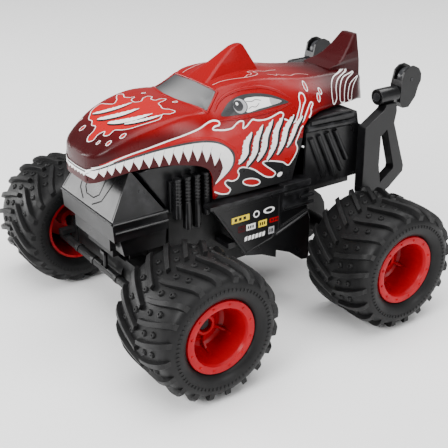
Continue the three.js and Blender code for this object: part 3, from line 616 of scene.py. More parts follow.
# How a flat drawing meets the shell: from the side in (y, z), from above in (x, y), from the front in (x, z).
VIEWS = {
    "side": (lambda u, v: (0.09, u * MM, v * MM), (-1, 0, 0)),
    "top": (lambda u, v: (u * MM, v * MM, 0.25), (0, 0, -1)),
    "front": (lambda u, v: (u * MM, -0.2, v * MM), (0, 1, 0)),
}


def cast(view, u, v, lift):
    """The point on the shell below a drawn point, lifted off the surface, or None."""
    start, way = VIEWS[view]
    point, normal, *_ = SURFACE.ray_cast(Vector(start(u, v)), Vector(way))
    if point is None:
        return None
    if normal.dot(Vector(way)) > 0:
        normal = -normal
    return point + normal * lift * MM


def face_towards(bm, out):
    for face in bm.faces:
        face.normal_update()
        if face.normal.dot(out) < 0:
            face.normal_flip()


def lay(name, verts, faces, material, view, mirror):
    """Links a thin drawing, on both sides where it is mirrored, with its faces looking out."""
    for side in ((1, -1) if mirror else (1,)):
        mesh = mesh_of(name, [(p.x * side, p.y, p.z) if p else (0, 0, 0.1) for p in verts], faces)
        way = VIEWS[view][1]
        out = -Vector((way[0] * side, way[1], way[2]))
        with edited(mesh) as bm:
            face_towards(bm, out)
            bmesh.ops.delete(bm, geom=[v for v in bm.verts if not v.link_faces], context="VERTS")
        suffix = ("_left" if side > 0 else "_right") if mirror else ""
        piece(name + suffix, mesh, material, "chassis", angle=60)


def printed(name, outline, material, layer, view="side", mirror=True, grid=1.3, clip=None):
    """A thin printed patch lying on the shell."""
    co, faces = flat_mesh(outline, grid, clip)
    verts = [cast(view, u, v, PRINT_LIFT + LAYER_STEP * layer) for u, v in co]
    kept = [tuple(f) for f in faces if all(verts[i] for i in f)]
    if kept:
        lay(name, verts, kept, material, view, mirror)


def stroke(points, width, closed=False, taper=False):
    """The outline of a line of that width."""
    n = len(points)
    left, right = [], []
    for i, p in enumerate(points):
        a = np.array(points[(i - 1) % n] if closed or i else points[0], float)
        b = np.array(points[(i + 1) % n] if closed or i < n - 1 else points[-1], float)
        d = b - a
        d /= max(np.linalg.norm(d), 1e-9)
        w = width / 2
        if taper:
            w *= max(0.12, math.sin(math.pi * min(1, (i + 0.3) / (n - 1))) ** 0.5)
        left.append((p[0] - d[1] * w, p[1] + d[0] * w))
        right.append((p[0] + d[1] * w, p[1] - d[0] * w))
    return left, right


def lined(name, points, width, material, layer, view="side", mirror=True, closed=False, taper=False,
          clip=None):
    """A painted line that follows the shell."""
    left, right = stroke(points, width, closed, taper)
    count = len(points)
    verts = [cast(view, u, v, PRINT_LIFT + LAYER_STEP * layer) if clip is None or inside(clip, u,
        v) else None
             for u, v in left + right]
    quads = [(i, (i + 1) % count, count + (i + 1) % count,
              count + i) for i in range(count if closed else count - 1)]
    lay(name, verts, [q for q in quads if all(verts[i] for i in q)], material, view, mirror)


def smooth(points, count, closed=True):
    return [tuple(float(c) for c in p) for p in catmull(points, count, closed)]


def disc(y, z, r, flat=1.0, count=32, lean=0.0):
    out = []
    for t in range(count):
        a = 2 * math.pi * t / count
        u, v = r * math.cos(a), r * flat * math.sin(a)
        out.append((y + u * math.cos(lean) - v * math.sin(lean),
                    z + u * math.sin(lean) + v * math.cos(lean)))
    return out


# The black lower flank, then the red splash over it with its white outline.
printed("flank_black", [(-43, 88), (27, 88), (27, 110), (31, 120), (26, 121), (10, 112), (-20, 114),
    (-30, 106)],
        INK_BLACK, 0, clip=SIDE_CLIP)
SPLASH_TOP = [(-111, 121), (-101, 126), (-91, 130), (-79, 133.2), (-69, 135.6), (-58, 137.6), (-48, 139.6),
              (-41, 141.6), (-36, 142), (-33, 141), (-33.4, 139.4), (-37, 138.8), (-38.6, 137.6),
                  (-35, 136.6),
              (-30, 136), (-25, 136.4), (-22, 138.2), (-19, 139.4), (-16.4, 138.8), (-16.8, 136.8),
              (-17.4, 135),
              (-15, 135.4), (-12, 137.4), (-9.4, 138.8), (-6, 137.8), (0, 137.2), (5, 137.8), (10, 139),
              (13, 139.4), (15, 138), (14, 135.6), (17, 134), (21, 131.6)]
DRIPS = [(23.6, 132), (27.4, 136.6), (30.6, 141), (31.6, 145), (34, 146.8), (36.6, 145.6), (36.4, 142.6),
         (33.4, 140), (30.4, 136.6), (28, 132.4), (29.4, 130.6), (33, 134), (37.4, 138.4), (40.8, 140.4),
         (42, 139.4), (39, 136.6), (38.6, 134.8), (35, 131.6), (31.4, 128.8)]
SPLASH_BACK = [(28, 127.4), (25.6, 124.6), (23.6, 121.6), (22, 118.6), (23.4, 115), (22.8, 112),
    (19.6, 107)]
SPLASH_LOW = [(16.4, 104.2), (12, 107.2), (8, 108.6), (3, 110), (-2, 111), (-4.6, 110.6), (-1.6, 107.4),
              (3.4, 103.6), (6, 100.8), (4, 99), (-1, 99.8), (-6.4, 103.4), (-11, 107), (-16, 109.4),
              (-21.6, 110.6), (-23.6, 108.8), (-22.6, 106), (-24.2, 103.4), (-28, 102.8), (-31.2, 104),
              (-33, 102.8), (-31.4, 100), (-29, 97.4), (-30.4, 95.2), (-35, 95.4), (-40, 97.8), (-43, 100)]
SPLASH_FRONT = [(-46, 112), (-60, 118), (-80, 117), (-100, 112), (-112, 108), (-114, 114)]
splash_edge = smooth(SPLASH_TOP + DRIPS + SPLASH_BACK + SPLASH_LOW, 300, False)
printed("splash_red", splash_edge + SPLASH_FRONT, FLAT_RED, 1, clip=SIDE_CLIP)
lined("splash_line", splash_edge, 0.9, WHITE, 3, clip=SIDE_CLIP)
oval = [(-13 + 6.6 * math.cos(t / 18 * math.pi), 98.9 + 2.5 * math.sin(t / 18 * math.pi)
         - 3.0 * math.cos(t / 18 * math.pi) * 0.5) for t in range(36)]
printed("splash_oval", oval, FLAT_RED, 1, clip=SIDE_CLIP)
lined("splash_oval_line", oval, 0.8, WHITE, 3, closed=True, clip=SIDE_CLIP)
for number, (y, z, ry, rz, lean) in enumerate([(9.6, 99.2, 2.2, 1.5, 0.3), (42, 149, 1.5, 2.6, -0.3),
                                              (53.4, 144.2, 1.2, 1.7, -0.3), (49.4, 141.4, 1.3, 2.5,
                                                  -0.5)]):
    ring = disc(y, z, ry, rz / ry, 24, lean)
    printed(f"drop_{number}", ring, WHITE if number == 0 else FLAT_RED, 1, clip=SIDE_CLIP, grid=0.8)
    if number:
        lined(f"drop_line_{number}", ring, 0.6, WHITE, 2, closed=True)

# Mouth: dark lining, grey rim, white teeth.
GUM = [(-114, 113), (-112.6, 118), (-108, 121), (-98, 125), (-87, 128), (-76, 130.2), (-64, 131.4),
    (-52, 131.6),
       (-43, 130.6), (-35, 128), (-30, 124.4), (-27.6, 120.4), (-27.2, 116.4), (-28.8, 112.2), (-33, 108),
       (-40, 103)]
gum_line = smooth(GUM, 90, False)
rim_line = smooth([(y + (1.5 if z < 124 and y > -40 else 0), z + (1.3 if z > 117 else 0)) for y,
                   z in GUM], 90, False)
printed("mouth_rim", rim_line + [(-44, 108), (-60, 122), (-90, 118), (-112, 112)], INK_GREY, 4,
        clip=SIDE_CLIP)
printed("mouth_lining", gum_line + [(-44.4, 96), (-60, 116), (-90, 112), (-112, 106)], DARK_RED, 5,
        clip=SIDE_CLIP)
TIPS = [(-110.6, 114.6), (-106.6, 116.4), (-102.6, 117.4), (-98.2, 118.6), (-93.4, 119.4), (-87.8, 120),
        (-82, 120.4),
        (-76, 120.6), (-70, 120.8), (-64, 121), (-58, 121), (-52, 120.4), (-46, 118.8), (-40.6, 115.6)]
ROOTS = [(-112.8, 115.8), (-108.6, 119.4), (-104.6, 121.2), (-100.4, 122.7), (-95.8, 124.1), (-90.4, 125.6),
         (-84.8, 126.7), (-78.8, 127.5), (-72.8, 128.1), (-66.8, 128.6), (-60.6, 128.8), (-54.4, 128.6),
         (-48.2, 127.5),
         (-42.4, 125.1), (-36.9, 120.6)]
bite = []
for k in range(len(TIPS) - 1, -1, -1):
    ry, rz = ROOTS[k + 1]
    ty, tz = TIPS[k]
    ly, lz = ROOTS[k]
    bite += [(ry, rz), ((ry * 0.45 + ty * 0.55) + 0.2, rz * 0.4 + tz * 0.6), (ty + 0.2, tz),
             ((ly * 0.3 + ty * 0.7), lz * 0.35 + tz * 0.65), (ly * 0.82 + ty * 0.18, lz * 0.8 + tz * 0.2)]
fang = [(-39.6, 104.2), (-36.4, 108.8), (-34.6, 113.2), (-35.4, 116.8)]
printed("teeth", gum_line + fang + bite + [ROOTS[0]], WHITE, 7, clip=SIDE_CLIP, grid=1.0)
lined("nose_lip_line", smooth([(-113.2, 113.6), (-111.8, 119.4), (-108, 122.4), (-101, 125.6)], 20,
                              False), 0.7, WHITE, 8,
      clip=SIDE_CLIP)

# The mouth goes on round the front of the nose.
printed("nose_rim", [(-12.6, 114.4), (-12.6, 118.4), (-8, 118), (0, 117.6), (8, 118), (12.6, 118.4),
                     (12.6, 114.4),
                     (0, 113.6)], INK_GREY, 3, view="front", mirror=False, grid=1.0)
nose_teeth = [(-12.4, 117.4), (-8, 117), (0, 116.6), (8, 117), (12.4, 117.4)]
for step in range(7):
    x = 12 - 4 * step
    nose_teeth += [(x, 116.0 - 0.5 * math.cos(x / 8)), (x - 2, 114.6 - 0.5 * math.cos(x / 8))]
printed("nose_lining", [(-12.8, 110.4), (-12.8, 116), (0, 115.4), (12.8, 116), (12.8, 110.4)], DARK_RED,
        4, view="front",
        mirror=False, grid=1.0)
printed("nose_teeth", nose_teeth, WHITE, 6, view="front", mirror=False, grid=0.9)
lined("nose_front_line", smooth([(-12.4, 118.8), (-7, 118.4), (0, 118.1), (7, 118.4), (12.4, 118.8)], 24,
                                False), 0.6, WHITE,
      7, view="front", mirror=False)
for number in range(len(ROOTS)):
    (ry, rz) = ROOTS[number]
    lined(f"tooth_gap_{number}", [(ry + 0.1, rz), (ry + 0.7, rz + 1.5), (ry + 1.6, rz + 2.8)], 0.32,
          SILVER, 8, taper=True,
          clip=SIDE_CLIP)

# Eye with its raised lids.
EYE = [(-30.4, 144), (-26.6, 147.6), (-22, 150.8), (-16, 152.8), (-9, 153.4), (1, 152.4), (10, 150),
    (17, 146.8),
       (21.6, 144), (15, 143.6), (7, 143.4), (-3, 142.9), (-13, 142.8), (-22, 143.2)]
eye_edge = smooth(EYE, 72)
printed("eye_border", eye_edge, INK_GREY, 1, grid=1.0)
printed("eye_white", smooth([(-12, 150.6), (-6, 151.2), (1, 150.4), (9, 148.4), (16, 145.6),
                             (8, 144.7), (-2, 144.2),
                             (-13, 144)], 40), WHITE, 2, grid=1.0)
printed("eye_corner", smooth([(7, 148.9), (11, 147.8), (16, 145.6), (11, 145), (7, 145)], 24), SILVER, 3,
        grid=0.9)
printed("iris_edge", disc(-16.2, 147.6, 5.4, 0.86), INK_GREY, 4, grid=0.8, clip=eye_edge)
printed("iris", disc(-16.2, 147.6, 4.7, 0.86), SILVER, 5, grid=0.8, clip=eye_edge)
printed("pupil", disc(-17.4, 148.0, 3.4, 0.9), INK_GREY, 6, grid=0.7, clip=eye_edge)
printed("eye_glint", disc(-18.0, 149.2, 0.9), WHITE, 7, grid=0.5)
lined("eye_vein_1", smooth([(-11, 149.6), (-7, 149), (-4, 149.6), (0, 148.6)], 14, False), 0.35, INK_GREY,
      4)
lined("eye_vein_2", smooth([(-10.6, 145.2), (-8, 146.2), (-5, 145.6), (-2, 147.2)], 14, False), 0.35,
      INK_GREY, 4)


def ridge(name, points, radius, material, body, flat=0.55):
    """A soft raised bead along a line on the shell, seen from the side."""
    count, around = len(points), 8
    centres = []
    for u, v in points:
        hit = SURFACE.ray_cast(Vector((0.09, u * MM, v * MM)), Vector((-1, 0, 0)))
        centres.append((hit[0], hit[1]) if hit[0] else None)
    centres = [c for c in centres if c]
    for side in (1, -1):
        rings = []
        for i, (c, n) in enumerate(centres):
            d = (centres[min(i + 1, len(centres) - 1)][0] - centres[max(i - 1, 0)][0]).normalized()
            across = d.cross(n).normalized()
            size = radius * MM * max(0.15, math.sin(math.pi * (i + 0.5) / len(centres)) ** 0.4)
            ring = []
            for k in range(around):
                a = 2 * math.pi * k / around
                p = c + across * size * math.cos(a) + n * size * flat * math.sin(a)
                ring.append((p.x * side / MM, p.y / MM, p.z / MM))
            rings.append(ring)
        verts, faces = loft(rings)
        suffix = "_left" if side > 0 else "_right"
        piece(name + suffix, outward(verts, faces, name), material, body, angle=80)


brow = smooth([(-33, 146.4), (-28, 151), (-21, 154.6), (-13, 156.2), (-4, 156.2), (6, 155), (15, 151.6),
               (24, 146)], 40, False)
ridge("brow", brow, 1.5, PAINT, "chassis")
ridge("lid_low", smooth([(-33, 141.6), (-20, 141), (-5, 141), (10, 141.6), (24, 143.2)], 30, False), 1.0,
      PAINT, "chassis")
gum_bead = [(y + (2.6 if y > -40 and z < 124 else 0), z + (2.6 if z > 117 else 0)) for y, z in GUM[2:-1]]
ridge("gum_ridge", smooth(gum_bead, 60, False), 1.0, FLAT_RED, "chassis", 0.4)

# Claw strokes on the tail and a scratched patch on the flank, all without lettering.
SLASHES = [
    [(61.4, 135), (63, 140), (67, 144.6), (73, 148), (82, 149.4), (96, 149), (84, 148), (75.6, 146),
        (70, 142.4), (66, 137)],
    [(69.4, 135), (72, 139.6), (77, 143.8), (84, 146.6), (99, 146.4), (87, 144.8), (80.4, 141.8),
        (75.8, 137.6), (73, 134)],
    [(78.4, 134.4), (82, 138.6), (88, 142), (102, 143.4), (91, 140.4), (85.6, 137), (81.4, 133.2)],
]
for number, slash in enumerate(SLASHES):
    loop = smooth(slash, 60)
    printed(f"tail_slash_{number}", loop, DARK_RED, 1, clip=SIDE_CLIP, grid=1.0)
    lined(f"tail_slash_line_{number}", loop, 0.55, WHITE, 2, closed=True, clip=SIDE_CLIP)

STROKES = [
    ([(-20.6, 113.4), (-17.6, 119.4), (-18.2, 125), (-15, 131.4)], 4.6),
    ([(-13.6, 110.2), (-10.2, 119), (-10.6, 126), (-7, 134.4)], 4.2),
    ([(-6, 112), (-3.4, 120), (-3.6, 127), (0.6, 136.2)], 4.4),
    ([(2, 111.4), (4.6, 121), (4.4, 129), (9, 137)], 4.2),
    ([(9.4, 113.6), (11.6, 121.6), (12.6, 129), (18.4, 136)], 3.8),
    ([(16, 117), (18.4, 123.4), (21, 129.6), (26, 134)], 3.0),
]


def scratches(name, paths, layer, shadow, rough, **where):
    """White strokes with one ragged edge, each over a black shadow.

    shadow is how much wider the shadow is and how far it is moved. rough is the size and the pace of the
    ragged edge along both axes."""
    size_u, pace_u, size_v, pace_v = rough
    for number, (path, width) in enumerate(paths):
        line = smooth(path, 22, False)
        for label, grow, ink_used, above, move in (("shadow", shadow[0], INK_BLACK, 0, shadow[1]),
                                                   ("white", 0, WHITE, 1, 0)):
            left, right = stroke([(u + move, v - move) for u, v in line], width + grow, taper=True)
            jag = [(u + size_u * math.sin(pace_u * i + number), v + size_v * math.cos(pace_v * i))
                   for i, (u, v) in enumerate(left)]
            printed(f"{name}_{label}_{number}", jag + right[::-1], ink_used, layer + above, grid=1.0,
                    **where)


FLANK_SLANT, FLANK_MIDDLE = 0.34, 121
slanted = [([(u + FLANK_SLANT * (v - FLANK_MIDDLE), v) for u, v in path], width) for path, width in STROKES]
scratches("scratch", slanted, 4, (1.6, 0.8), (0.5, 2.3, 0.35, 3.1), clip=SIDE_CLIP)

# Loose splash lines on the roof's shoulder.
def swapped(points, count):
    return [(x, y) for y, x in smooth(points, count, False)]


lined("roof_line_1", swapped([(-24, 17.6), (-17, 18.8), (-9, 21), (-3, 22.4), (3, 22.2), (8, 20.6),
                              (11, 17.6), (10, 14.4),
                              (15, 13), (20, 13.6), (26, 11.6), (32, 9.6)], 50), 0.55, PINK, 2, view="top")
lined("roof_line_2", swapped([(17, 20.4), (20, 21.6), (23, 22.6), (25, 20), (28, 22), (31, 20.6), (36, 21),
                              (42, 17.6),
                              (48, 16.8), (53, 18.6)], 40), 0.55, PINK, 2, view="top")
lined("roof_line_3", swapped([(-3, 22.4), (0, 20.6), (2, 18.8), (5, 18.6), (7, 16),
                              (6, 13.4), (9, 12), (12, 13)], 34),
      0.5, PINK, 2, view="top")

# Abstract splash on the hood.
HOOD = [(-27, -81), (-22, -79), (-17, -76.6), (-20, -72.6), (-25, -70), (-28.6, -67), (-25.6, -64.8),
        (-20, -67),
        (-16, -65.6), (-13.6, -63), (-11, -66.8), (-5, -67.6), (-3, -64.4), (-7, -60.4), (-7.6, -56.4),
        (-4.4, -55.4),
        (-1.6, -58), (2.6, -57.4), (2.4, -53), (4.4, -50.6), (7, -54), (8.6, -58.4), (13, -59.6),
            (17.6, -60.6),
        (22, -58), (26.6, -57.6), (27.6, -61.6), (24.6, -65), (28.4, -69.4), (27.4, -75), (25, -81),
            (22, -86.6),
        (18, -90), (13.6, -92.6), (14, -97), (10.6, -98.6), (8, -96.4), (6, -100), (6.8, -104),
            (3.4, -106), (0, -103.6),
        (-0.6, -99.6), (-3.6, -96.6), (-8, -97), (-12, -94.6), (-17, -94.4), (-21, -91.4), (-25, -88)]
hood_loop = smooth(HOOD, 260)
SPLASH_TINT = ink("ink_rose", (0.36, 0.007, 0.011), (0.40, 0.0008, 0.0024))
printed("hood_splash", hood_loop, SPLASH_TINT, 0, view="top", mirror=False)
lined("hood_splash_line", hood_loop, 0.55, WHITE, 2, view="top", mirror=False, closed=True)
for number, (x, y, r) in enumerate([(20.6, -100.6, 1.3), (-13, -101, 1.5), (12.6, -103.4, 1.0), (24,
    -92.6, 1.5), (-24, -97, 1.1),
                                    (12, -48.6, 1.2), (-16, -55, 1.0)]):
    loop = disc(x, y, r, 1.35, 22)
    printed(f"hood_drop_{number}", loop, SPLASH_TINT, 0, view="top", mirror=False, grid=0.7)
    lined(f"hood_drop_line_{number}", loop, 0.5, WHITE, 2, view="top", mirror=False, closed=True)
SWEEPS = [([(-20, -90), (-13, -84), (-8, -77), (-6, -69)], 3.6),
          ([(-10, -92), (-3, -87), (3, -80), (6, -71)], 4.2),
          ([(2, -91), (9, -86), (15, -79), (19, -69)], 4.2),
          ([(14, -86), (19, -80), (23, -73), (25, -66)], 3.0)]
scratches("sweep", SWEEPS, 2, (1.4, 0.7), (0.4, 2.1, 0.3, 2.9), view="top", mirror=False)


# ---------- windscreen ----------

def windscreen():
    outline = screen_outline(-0.3)
    co, faces = flat_mesh(outline, 1.2)
    verts = []
    for u, v in co:
        hit = SURFACE.ray_cast(Vector((u * MM, v * MM, 0.25)), Vector((0, 0, -1)))
        verts.append(hit[0] - hit[1] * 0.35 * MM * (1 if hit[1].z > 0 else -1))
    mesh = mesh_of("windscreen_fine", verts, [tuple(f) for f in faces])
    with edited(mesh) as bm:
        face_towards(bm, Vector((0, 0, 1)))
    made = piece("windscreen_fine", mesh, WINDOW, "chassis", "windscreen", "window_grey", 50)
    thick = made.modifiers.new("wall", "SOLIDIFY")
    thick.thickness = 1.4 * MM
    thick.offset = -1
    loop = smooth(resampled(screen_outline(0.7), 2.5), 90)
    rings = []
    for i, (u, v) in enumerate(loop):
        hit = SURFACE.ray_cast(Vector((u * MM, v * MM, 0.25)), Vector((0, 0, -1)))
        c, n = hit[0], (hit[1] if hit[1].z > 0 else -hit[1])
        a, b = loop[(i - 1) % len(loop)], loop[(i + 1) % len(loop)]
        d = Vector(((b[0] - a[0]), (b[1] - a[1]), 0)).normalized()
        across = d.cross(n).normalized()
        ring = []
        for k in range(8):
            t = 2 * math.pi * k / 8
            p = c + across * 0.9 * MM * math.cos(t) + n * 0.5 * MM * math.sin(t)
            ring.append(tuple(q / MM for q in p))
        rings.append(ring)
    verts, faces = loft(rings + rings[:1], cap=False)
    piece("windscreen_frame", outward(verts, faces, "windscreen_frame"), PAINT, "chassis", angle=70)


windscreen()


# ---------- tyres and rims ----------

LUGS = 20
TREAD = [(0, 40.1), (7, 40.05), (14, 39.8), (20, 39.2), (24.6, 38.2), (27.2, 36.4), (28.6, 34),
    (29.1, 31.4),
         (28.8, 28.8), (27.6, 26.2), (25.6, 24.4), (24.6, 23.9)]
BEAD = [(24.2, 23.62), (21.4, 23.62), (21.2, 24.2), (23.2, 27), (25, 31), (25, 34.4), (18, 36), (0, 36.6)]


def tread_radius(x):
    line = TREAD[:8]
    for (a, ra), (b, rb) in zip(line, line[1:]):
        if x <= b:
            t = (x - a) / (b - a)
            return ra + (rb - ra) * t
    return line[-1][1]


def on_tyre(x, angle, r):
    return (x, -r * math.sin(angle), r * math.cos(angle))


def revolve(profile, segments):
    rings = []
    for s in range(segments):
        a = 2 * math.pi * s / segments
        rings.append([on_tyre(x, a, r) for x, r in profile])
    return loft(rings + rings[:1], cap=False)


class Solid:
    """Collects closed shapes into one mesh."""

    def __init__(self):
        self.verts, self.faces = [], []

    def add(self, verts, faces):
        base = len(self.verts)
        self.verts += verts
        self.faces += [tuple(i + base for i in f) for f in faces]

    def mesh(self, name, flip=False):
        verts = [(-x, -y, z) for x, y, z in self.verts] if flip else self.verts
        mesh = mesh_of(name, [[c * MM for c in v] for v in verts], self.faces)
        with edited(mesh) as bm:
            bmesh.ops.remove_doubles(bm, verts=bm.verts, dist=1e-7)
            bmesh.ops.recalc_face_normals(bm, faces=bm.faces)
        return mesh


def lead_at(side, t):
    """How far a bar trails behind its start, from the middle (0) to the shoulder (1)."""
    return -9 * t ** 1.3 if side > 0 else 15.5 * (1 - t) ** 0.9 - 15.5


def lug(side, index):
    """A curved tread bar from near the middle to the shoulder, with sloped flanks."""
    base = 2 * math.pi * (index + (0 if side > 0 else 0.45)) / LUGS
    rings = []
    for k in range(13):
        t = k / 12
        x = 1.2 + t * 26.6
        lead = lead_at(side, t)
        root = tread_radius(x)
        angle = base + lead / 40
        half = 1.3 + 0.45 * t
        top = min(42.85, root + 2.75 + 0.7 * t)
        low = root - 1.2
        ring = []
        for offset, r in ((-half - 0.6, low), (-half - 0.35, root + 0.2), (-half, top - 0.2),
                          (-half + 0.2, top),
                          (half - 0.2, top), (half, top - 0.2), (half + 0.35, root + 0.2), (half + 0.6,
                              low)):
            ring.append(on_tyre(side * x, angle + offset / 40, r))
        rings.append(ring)
    return loft(rings)


def stud(side, index, x, lead):
    """A small round stud with a dimple."""
    base = 2 * math.pi * (index + (0.5 if side > 0 else 0.95)) / LUGS + lead / 40
    root = tread_radius(x)
    rings = []
    for r, h in ((2.2, -0.6), (2.0, 0.4), (1.6, 1.0), (1.3, 1.25), (0.75, 1.25), (0.55, 0.7), (0.2, 0.65)):
        ring = []
        for k in range(10):
            a = 2 * math.pi * k / 10
            ring.append(on_tyre(side * (x + r * math.cos(a)), base + r * math.sin(a) / 40, root + h))
        rings.append(ring)
    return loft(rings)


def tyre_solid():
    tyre = Solid()
    profile = [(x, r) for x, r in TREAD] + BEAD + [(-x, r) for x, r in reversed(BEAD[:-1])]
    profile += [(-x, r) for x, r in reversed(TREAD[1:])]
    tyre.add(*revolve(profile, 132))
    for side in (1, -1):
        for index in range(LUGS):
            tyre.add(*lug(side, index))
            for x in (6.4, 14.8):
                tyre.add(*stud(side, index, x, lead_at(side, (x - 1.2) / 26.6)))
        for k in range(72):
            a = 2 * math.pi * k / 72
            rings = []
            for x, w in ((28.4, 0.34), (29.5, 0.3)):
                rings.append([on_tyre(side * x, a + da * w / 31, 31.6 + dr) for da, dr in
                              ((-1, -0.9), (1, -0.9), (1, 0.9), (-1, 0.9))])
            tyre.add(*loft(rings))
    return tyre


def rim_solid():
    rim = Solid()
    profile = [(25.0, 23.5), (25.8, 23.1), (26.0, 22.4), (26.0, 19.4), (25.7, 18.7), (24.9, 18.3),
        (24.4, 17.9), (23.2, 17.6),
               (15, 16.6), (8, 15.8), (6.2, 15.2), (5.2, 14), (4.8, 12.2), (4.8, 11.4), (5.6, 11.0),
                   (5.6, 9.8), (5.0, 9.4),
               (5.0, 7.4), (5.6, 6.9), (8.6, 6.6), (9.2, 6.1), (9.2, 4.6), (8.9, 4.3), (3.0, 4.3),
                   (3.0, 2.62), (-6, 2.62), (-6, 6), (2.4, 6.8), (3, 15.8),
               (23, 20), (23.4, 21.8), (-24, 21.8), (-24, 23.5)]
    rim.add(*revolve(profile, 72))
    for k in range(12):
        a = 2 * math.pi * (k + 0.5) / 12
        cy, cz = -20.9 * math.sin(a), 20.9 * math.cos(a)
        rings = []
        for x, r in ((25.6, 0.85), (26.5, 0.8), (26.75, 0.55), (26.75, 0.1)):
            rings.append([(x, cy + r * math.cos(t),
                           cz + r * math.sin(t)) for t in [2 * math.pi * j / 10 for j in range(10)]])
        rim.add(*loft(rings))
    for k in range(6):
        a = 2 * math.pi * k / 6
        rings = []
        for r in (6.4, 9, 12, 15.4, 16.4):
            x_top = {6.4: 8.4, 9: 7.2, 12: 7.0, 15.4: 9.4, 16.4: 14.6}[r]
            ring = []
            for offset, x in ((-0.9, 3), (-0.9, x_top - 0.3), (-0.5, x_top), (0.5, x_top), (0.9,
                x_top - 0.3), (0.9, 3)):
                ring.append(on_tyre(x, a + offset / r, r))
            rings.append(ring)
        rim.add(*loft(rings))
    return rim


WHEELS = {"front_left": (TRACK_X, FRONT_Y, False), "front_right": (-TRACK_X, FRONT_Y, True),
          "rear_left": (TRACK_X, REAR_Y, False), "rear_right": (-TRACK_X, REAR_Y, True)}
tyre_shape, rim_shape = tyre_solid(), rim_solid()
for name, (x, y, flip) in WHEELS.items():
    at = Matrix.Translation((x * MM, y * MM, AXLE_Z * MM))
    for label, shape, material, slot in (("tyre", tyre_shape, RUBBER, "tyre_rubber"), ("rim", rim_shape,
        RIM_RED, "rim_red")):
        node = f"{label}_{name}"
        mesh = shape.mesh(node + "_fine", flip)
        mesh.transform(at)
        piece(node + "_fine", mesh, material, NODES[node]["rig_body"], node, slot, 30)
    crisp(f"wheel_nut_{name}", GREY_BLACK, 0.3)

# ---------- black parts and the works ----------

for name in ("front_bumper", "front_cowl", "rear_bed", "sill_left", "sill_right"):
    crisp(name, BLACK, 0.6)


def rounded(cx, cy, hx, hy, corner, z, steps=4):
    """A level ring: a rectangle with round corners."""
    ring = []
    for sx, sy, start in ((1, 1, 0), (-1, 1, 90), (-1, -1, 180), (1, -1, 270)):
        for k in range(steps + 1):
            a = math.radians(start + 90 * k / steps)
            ring.append((cx + sx * (hx - corner) + corner * math.cos(a),
                         cy + sy * (hy - corner) + corner * math.sin(a), z))
    return ring


def header_bank(side):
    """Four ribbed pipes on their back plate."""
    bank = Solid()
    plate = [rounded(side * 34.7, -43.8 + Y_SHIFT, 1.3, 13.1, 0.6, z) for z in (88, 88.6, 107.4, 108)]
    bank.add(*loft(plate))
    for y, bottom in ((-55.6, 84), (-48.6, 75), (-41.6, 75), (-34.6, 82)):
        rings = []
        levels = [(bottom, 0.7), (bottom + 0.5, 0.94), (bottom + 1.4, 1.0)]
        for k in range(7):
            z = 94.2 + 2.3 * k
            levels += [(z, 1.0), (z + 0.35, 0.87), (z + 0.95, 0.87), (z + 1.3, 1.0)]
        levels += [(110.2, 1.0), (110.9, 0.93), (111, 0.7)]
        for z, grow in levels:
            rings.append(rounded(side * 38.6, y + 2.2 + Y_SHIFT, 2.9 * grow, 2.2 * grow, 1.5 * grow, z))
        bank.add(*loft(rings))
    return bank


for label, side in (("left", 1), ("right", -1)):
    node = "headers_" + label
    piece(node + "_fine", header_bank(side).mesh(node), BLACK, "chassis", node, "black_plastic", 30)


def slab(outline, place, lift, thick):
    """A thin plate from a flat outline. place maps (u, v, height) to the truck."""
    return loft([[place(u, v, lift) for u, v in outline], [place(u, v, lift + thick) for u, v in outline]])


def bumper_plate(u, v, h):
    """Across the sloped front plate, up it from 0 to 1, and out from it."""
    length = math.hypot(27.6, 16.4)
    return (u, -97.4 + 16.4 * v + Y_SHIFT - h * 27.6 / length, 90 + 27.6 * v + h * 16.4 / length)


def strip(a, b, width):
    left, right = stroke([a, b], width)
    return [left[0], left[1], right[1], right[0]]


def scaled_strip(a, b, width):
    """A straight strip of painted groove shade on the bumper plate, whose second coordinate runs 0 to 1 over
    32 mm.
    """
    flat = strip((a[0], a[1] * 32.1), (b[0], b[1] * 32.1), width)
    return [(u, v / 32.1) for u, v in flat]


# Painted shade: dark strips lying almost flush on the bumper plate stand in for the shade in its engraved V
# lines and side lines.
groove_shade_strips = Solid()
for s in (1, -1):
    for a, b in (((s * 9.6, 0.94), (s * 9.2, 0.33)), ((s * 9.2, 0.33), (s * 4.6, 0.22)), ((s * 21, 0.92),
        (s * 14.4, 0.25)),
                 ((s * 14.4, 0.25), (s * 6, 0.09))):
        groove_shade_strips.add(*slab(scaled_strip(a, b, 1.0), bumper_plate, -0.3, 0.36))
    groove_shade_strips.add(*slab([(s * 33.6, 0.06), (s * 28.4, 0.93), (s * 27.9, 0.93), (s * 33.1, 0.06)],
                      bumper_plate, -0.3, 0.38))
groove_shade_strips.add(*slab(scaled_strip((-4.6, 0.22), (4.6, 0.22), 0.7), bumper_plate, -0.3, 0.36))
piece("bumper_groove_shade", groove_shade_strips.mesh("bumper_groove_shade"), PAINTED_GROOVE_SHADE, "chassis")

# Blank coloured patches on the sills.
SILL_FACE = 48.8
PATCHES = [
    (YELLOW, -23.7, 76.8, 7.0, 2.1, "bar"), (WHITE, -11.1, 77.1, 2.5, 2.5, "round"), (WHITE, -0.8, 77.4,
        4.6, 2.2, "round"),
    (DARK_RED, -22.8, 69.3, 2.8, 2.3, "bar"), (WHITE, -15.4, 69.1, 3.7, 2.1, "bar"), (YELLOW, -5.9, 69.1,
        3.4, 2.3, "bar"),
    (FLAT_RED, 4.2, 69.4, 4.4, 1.6, "bar"), (SILVER, 1.4, 62.3, 2.4, 2.6, "bar"), (WHITE, -11.9, 61.4,
        8.6, 1.7, "bars"),
]


def sill_face(side, out):
    def place(u, v, h):
        return (side * (out + h), u, v)
    return place


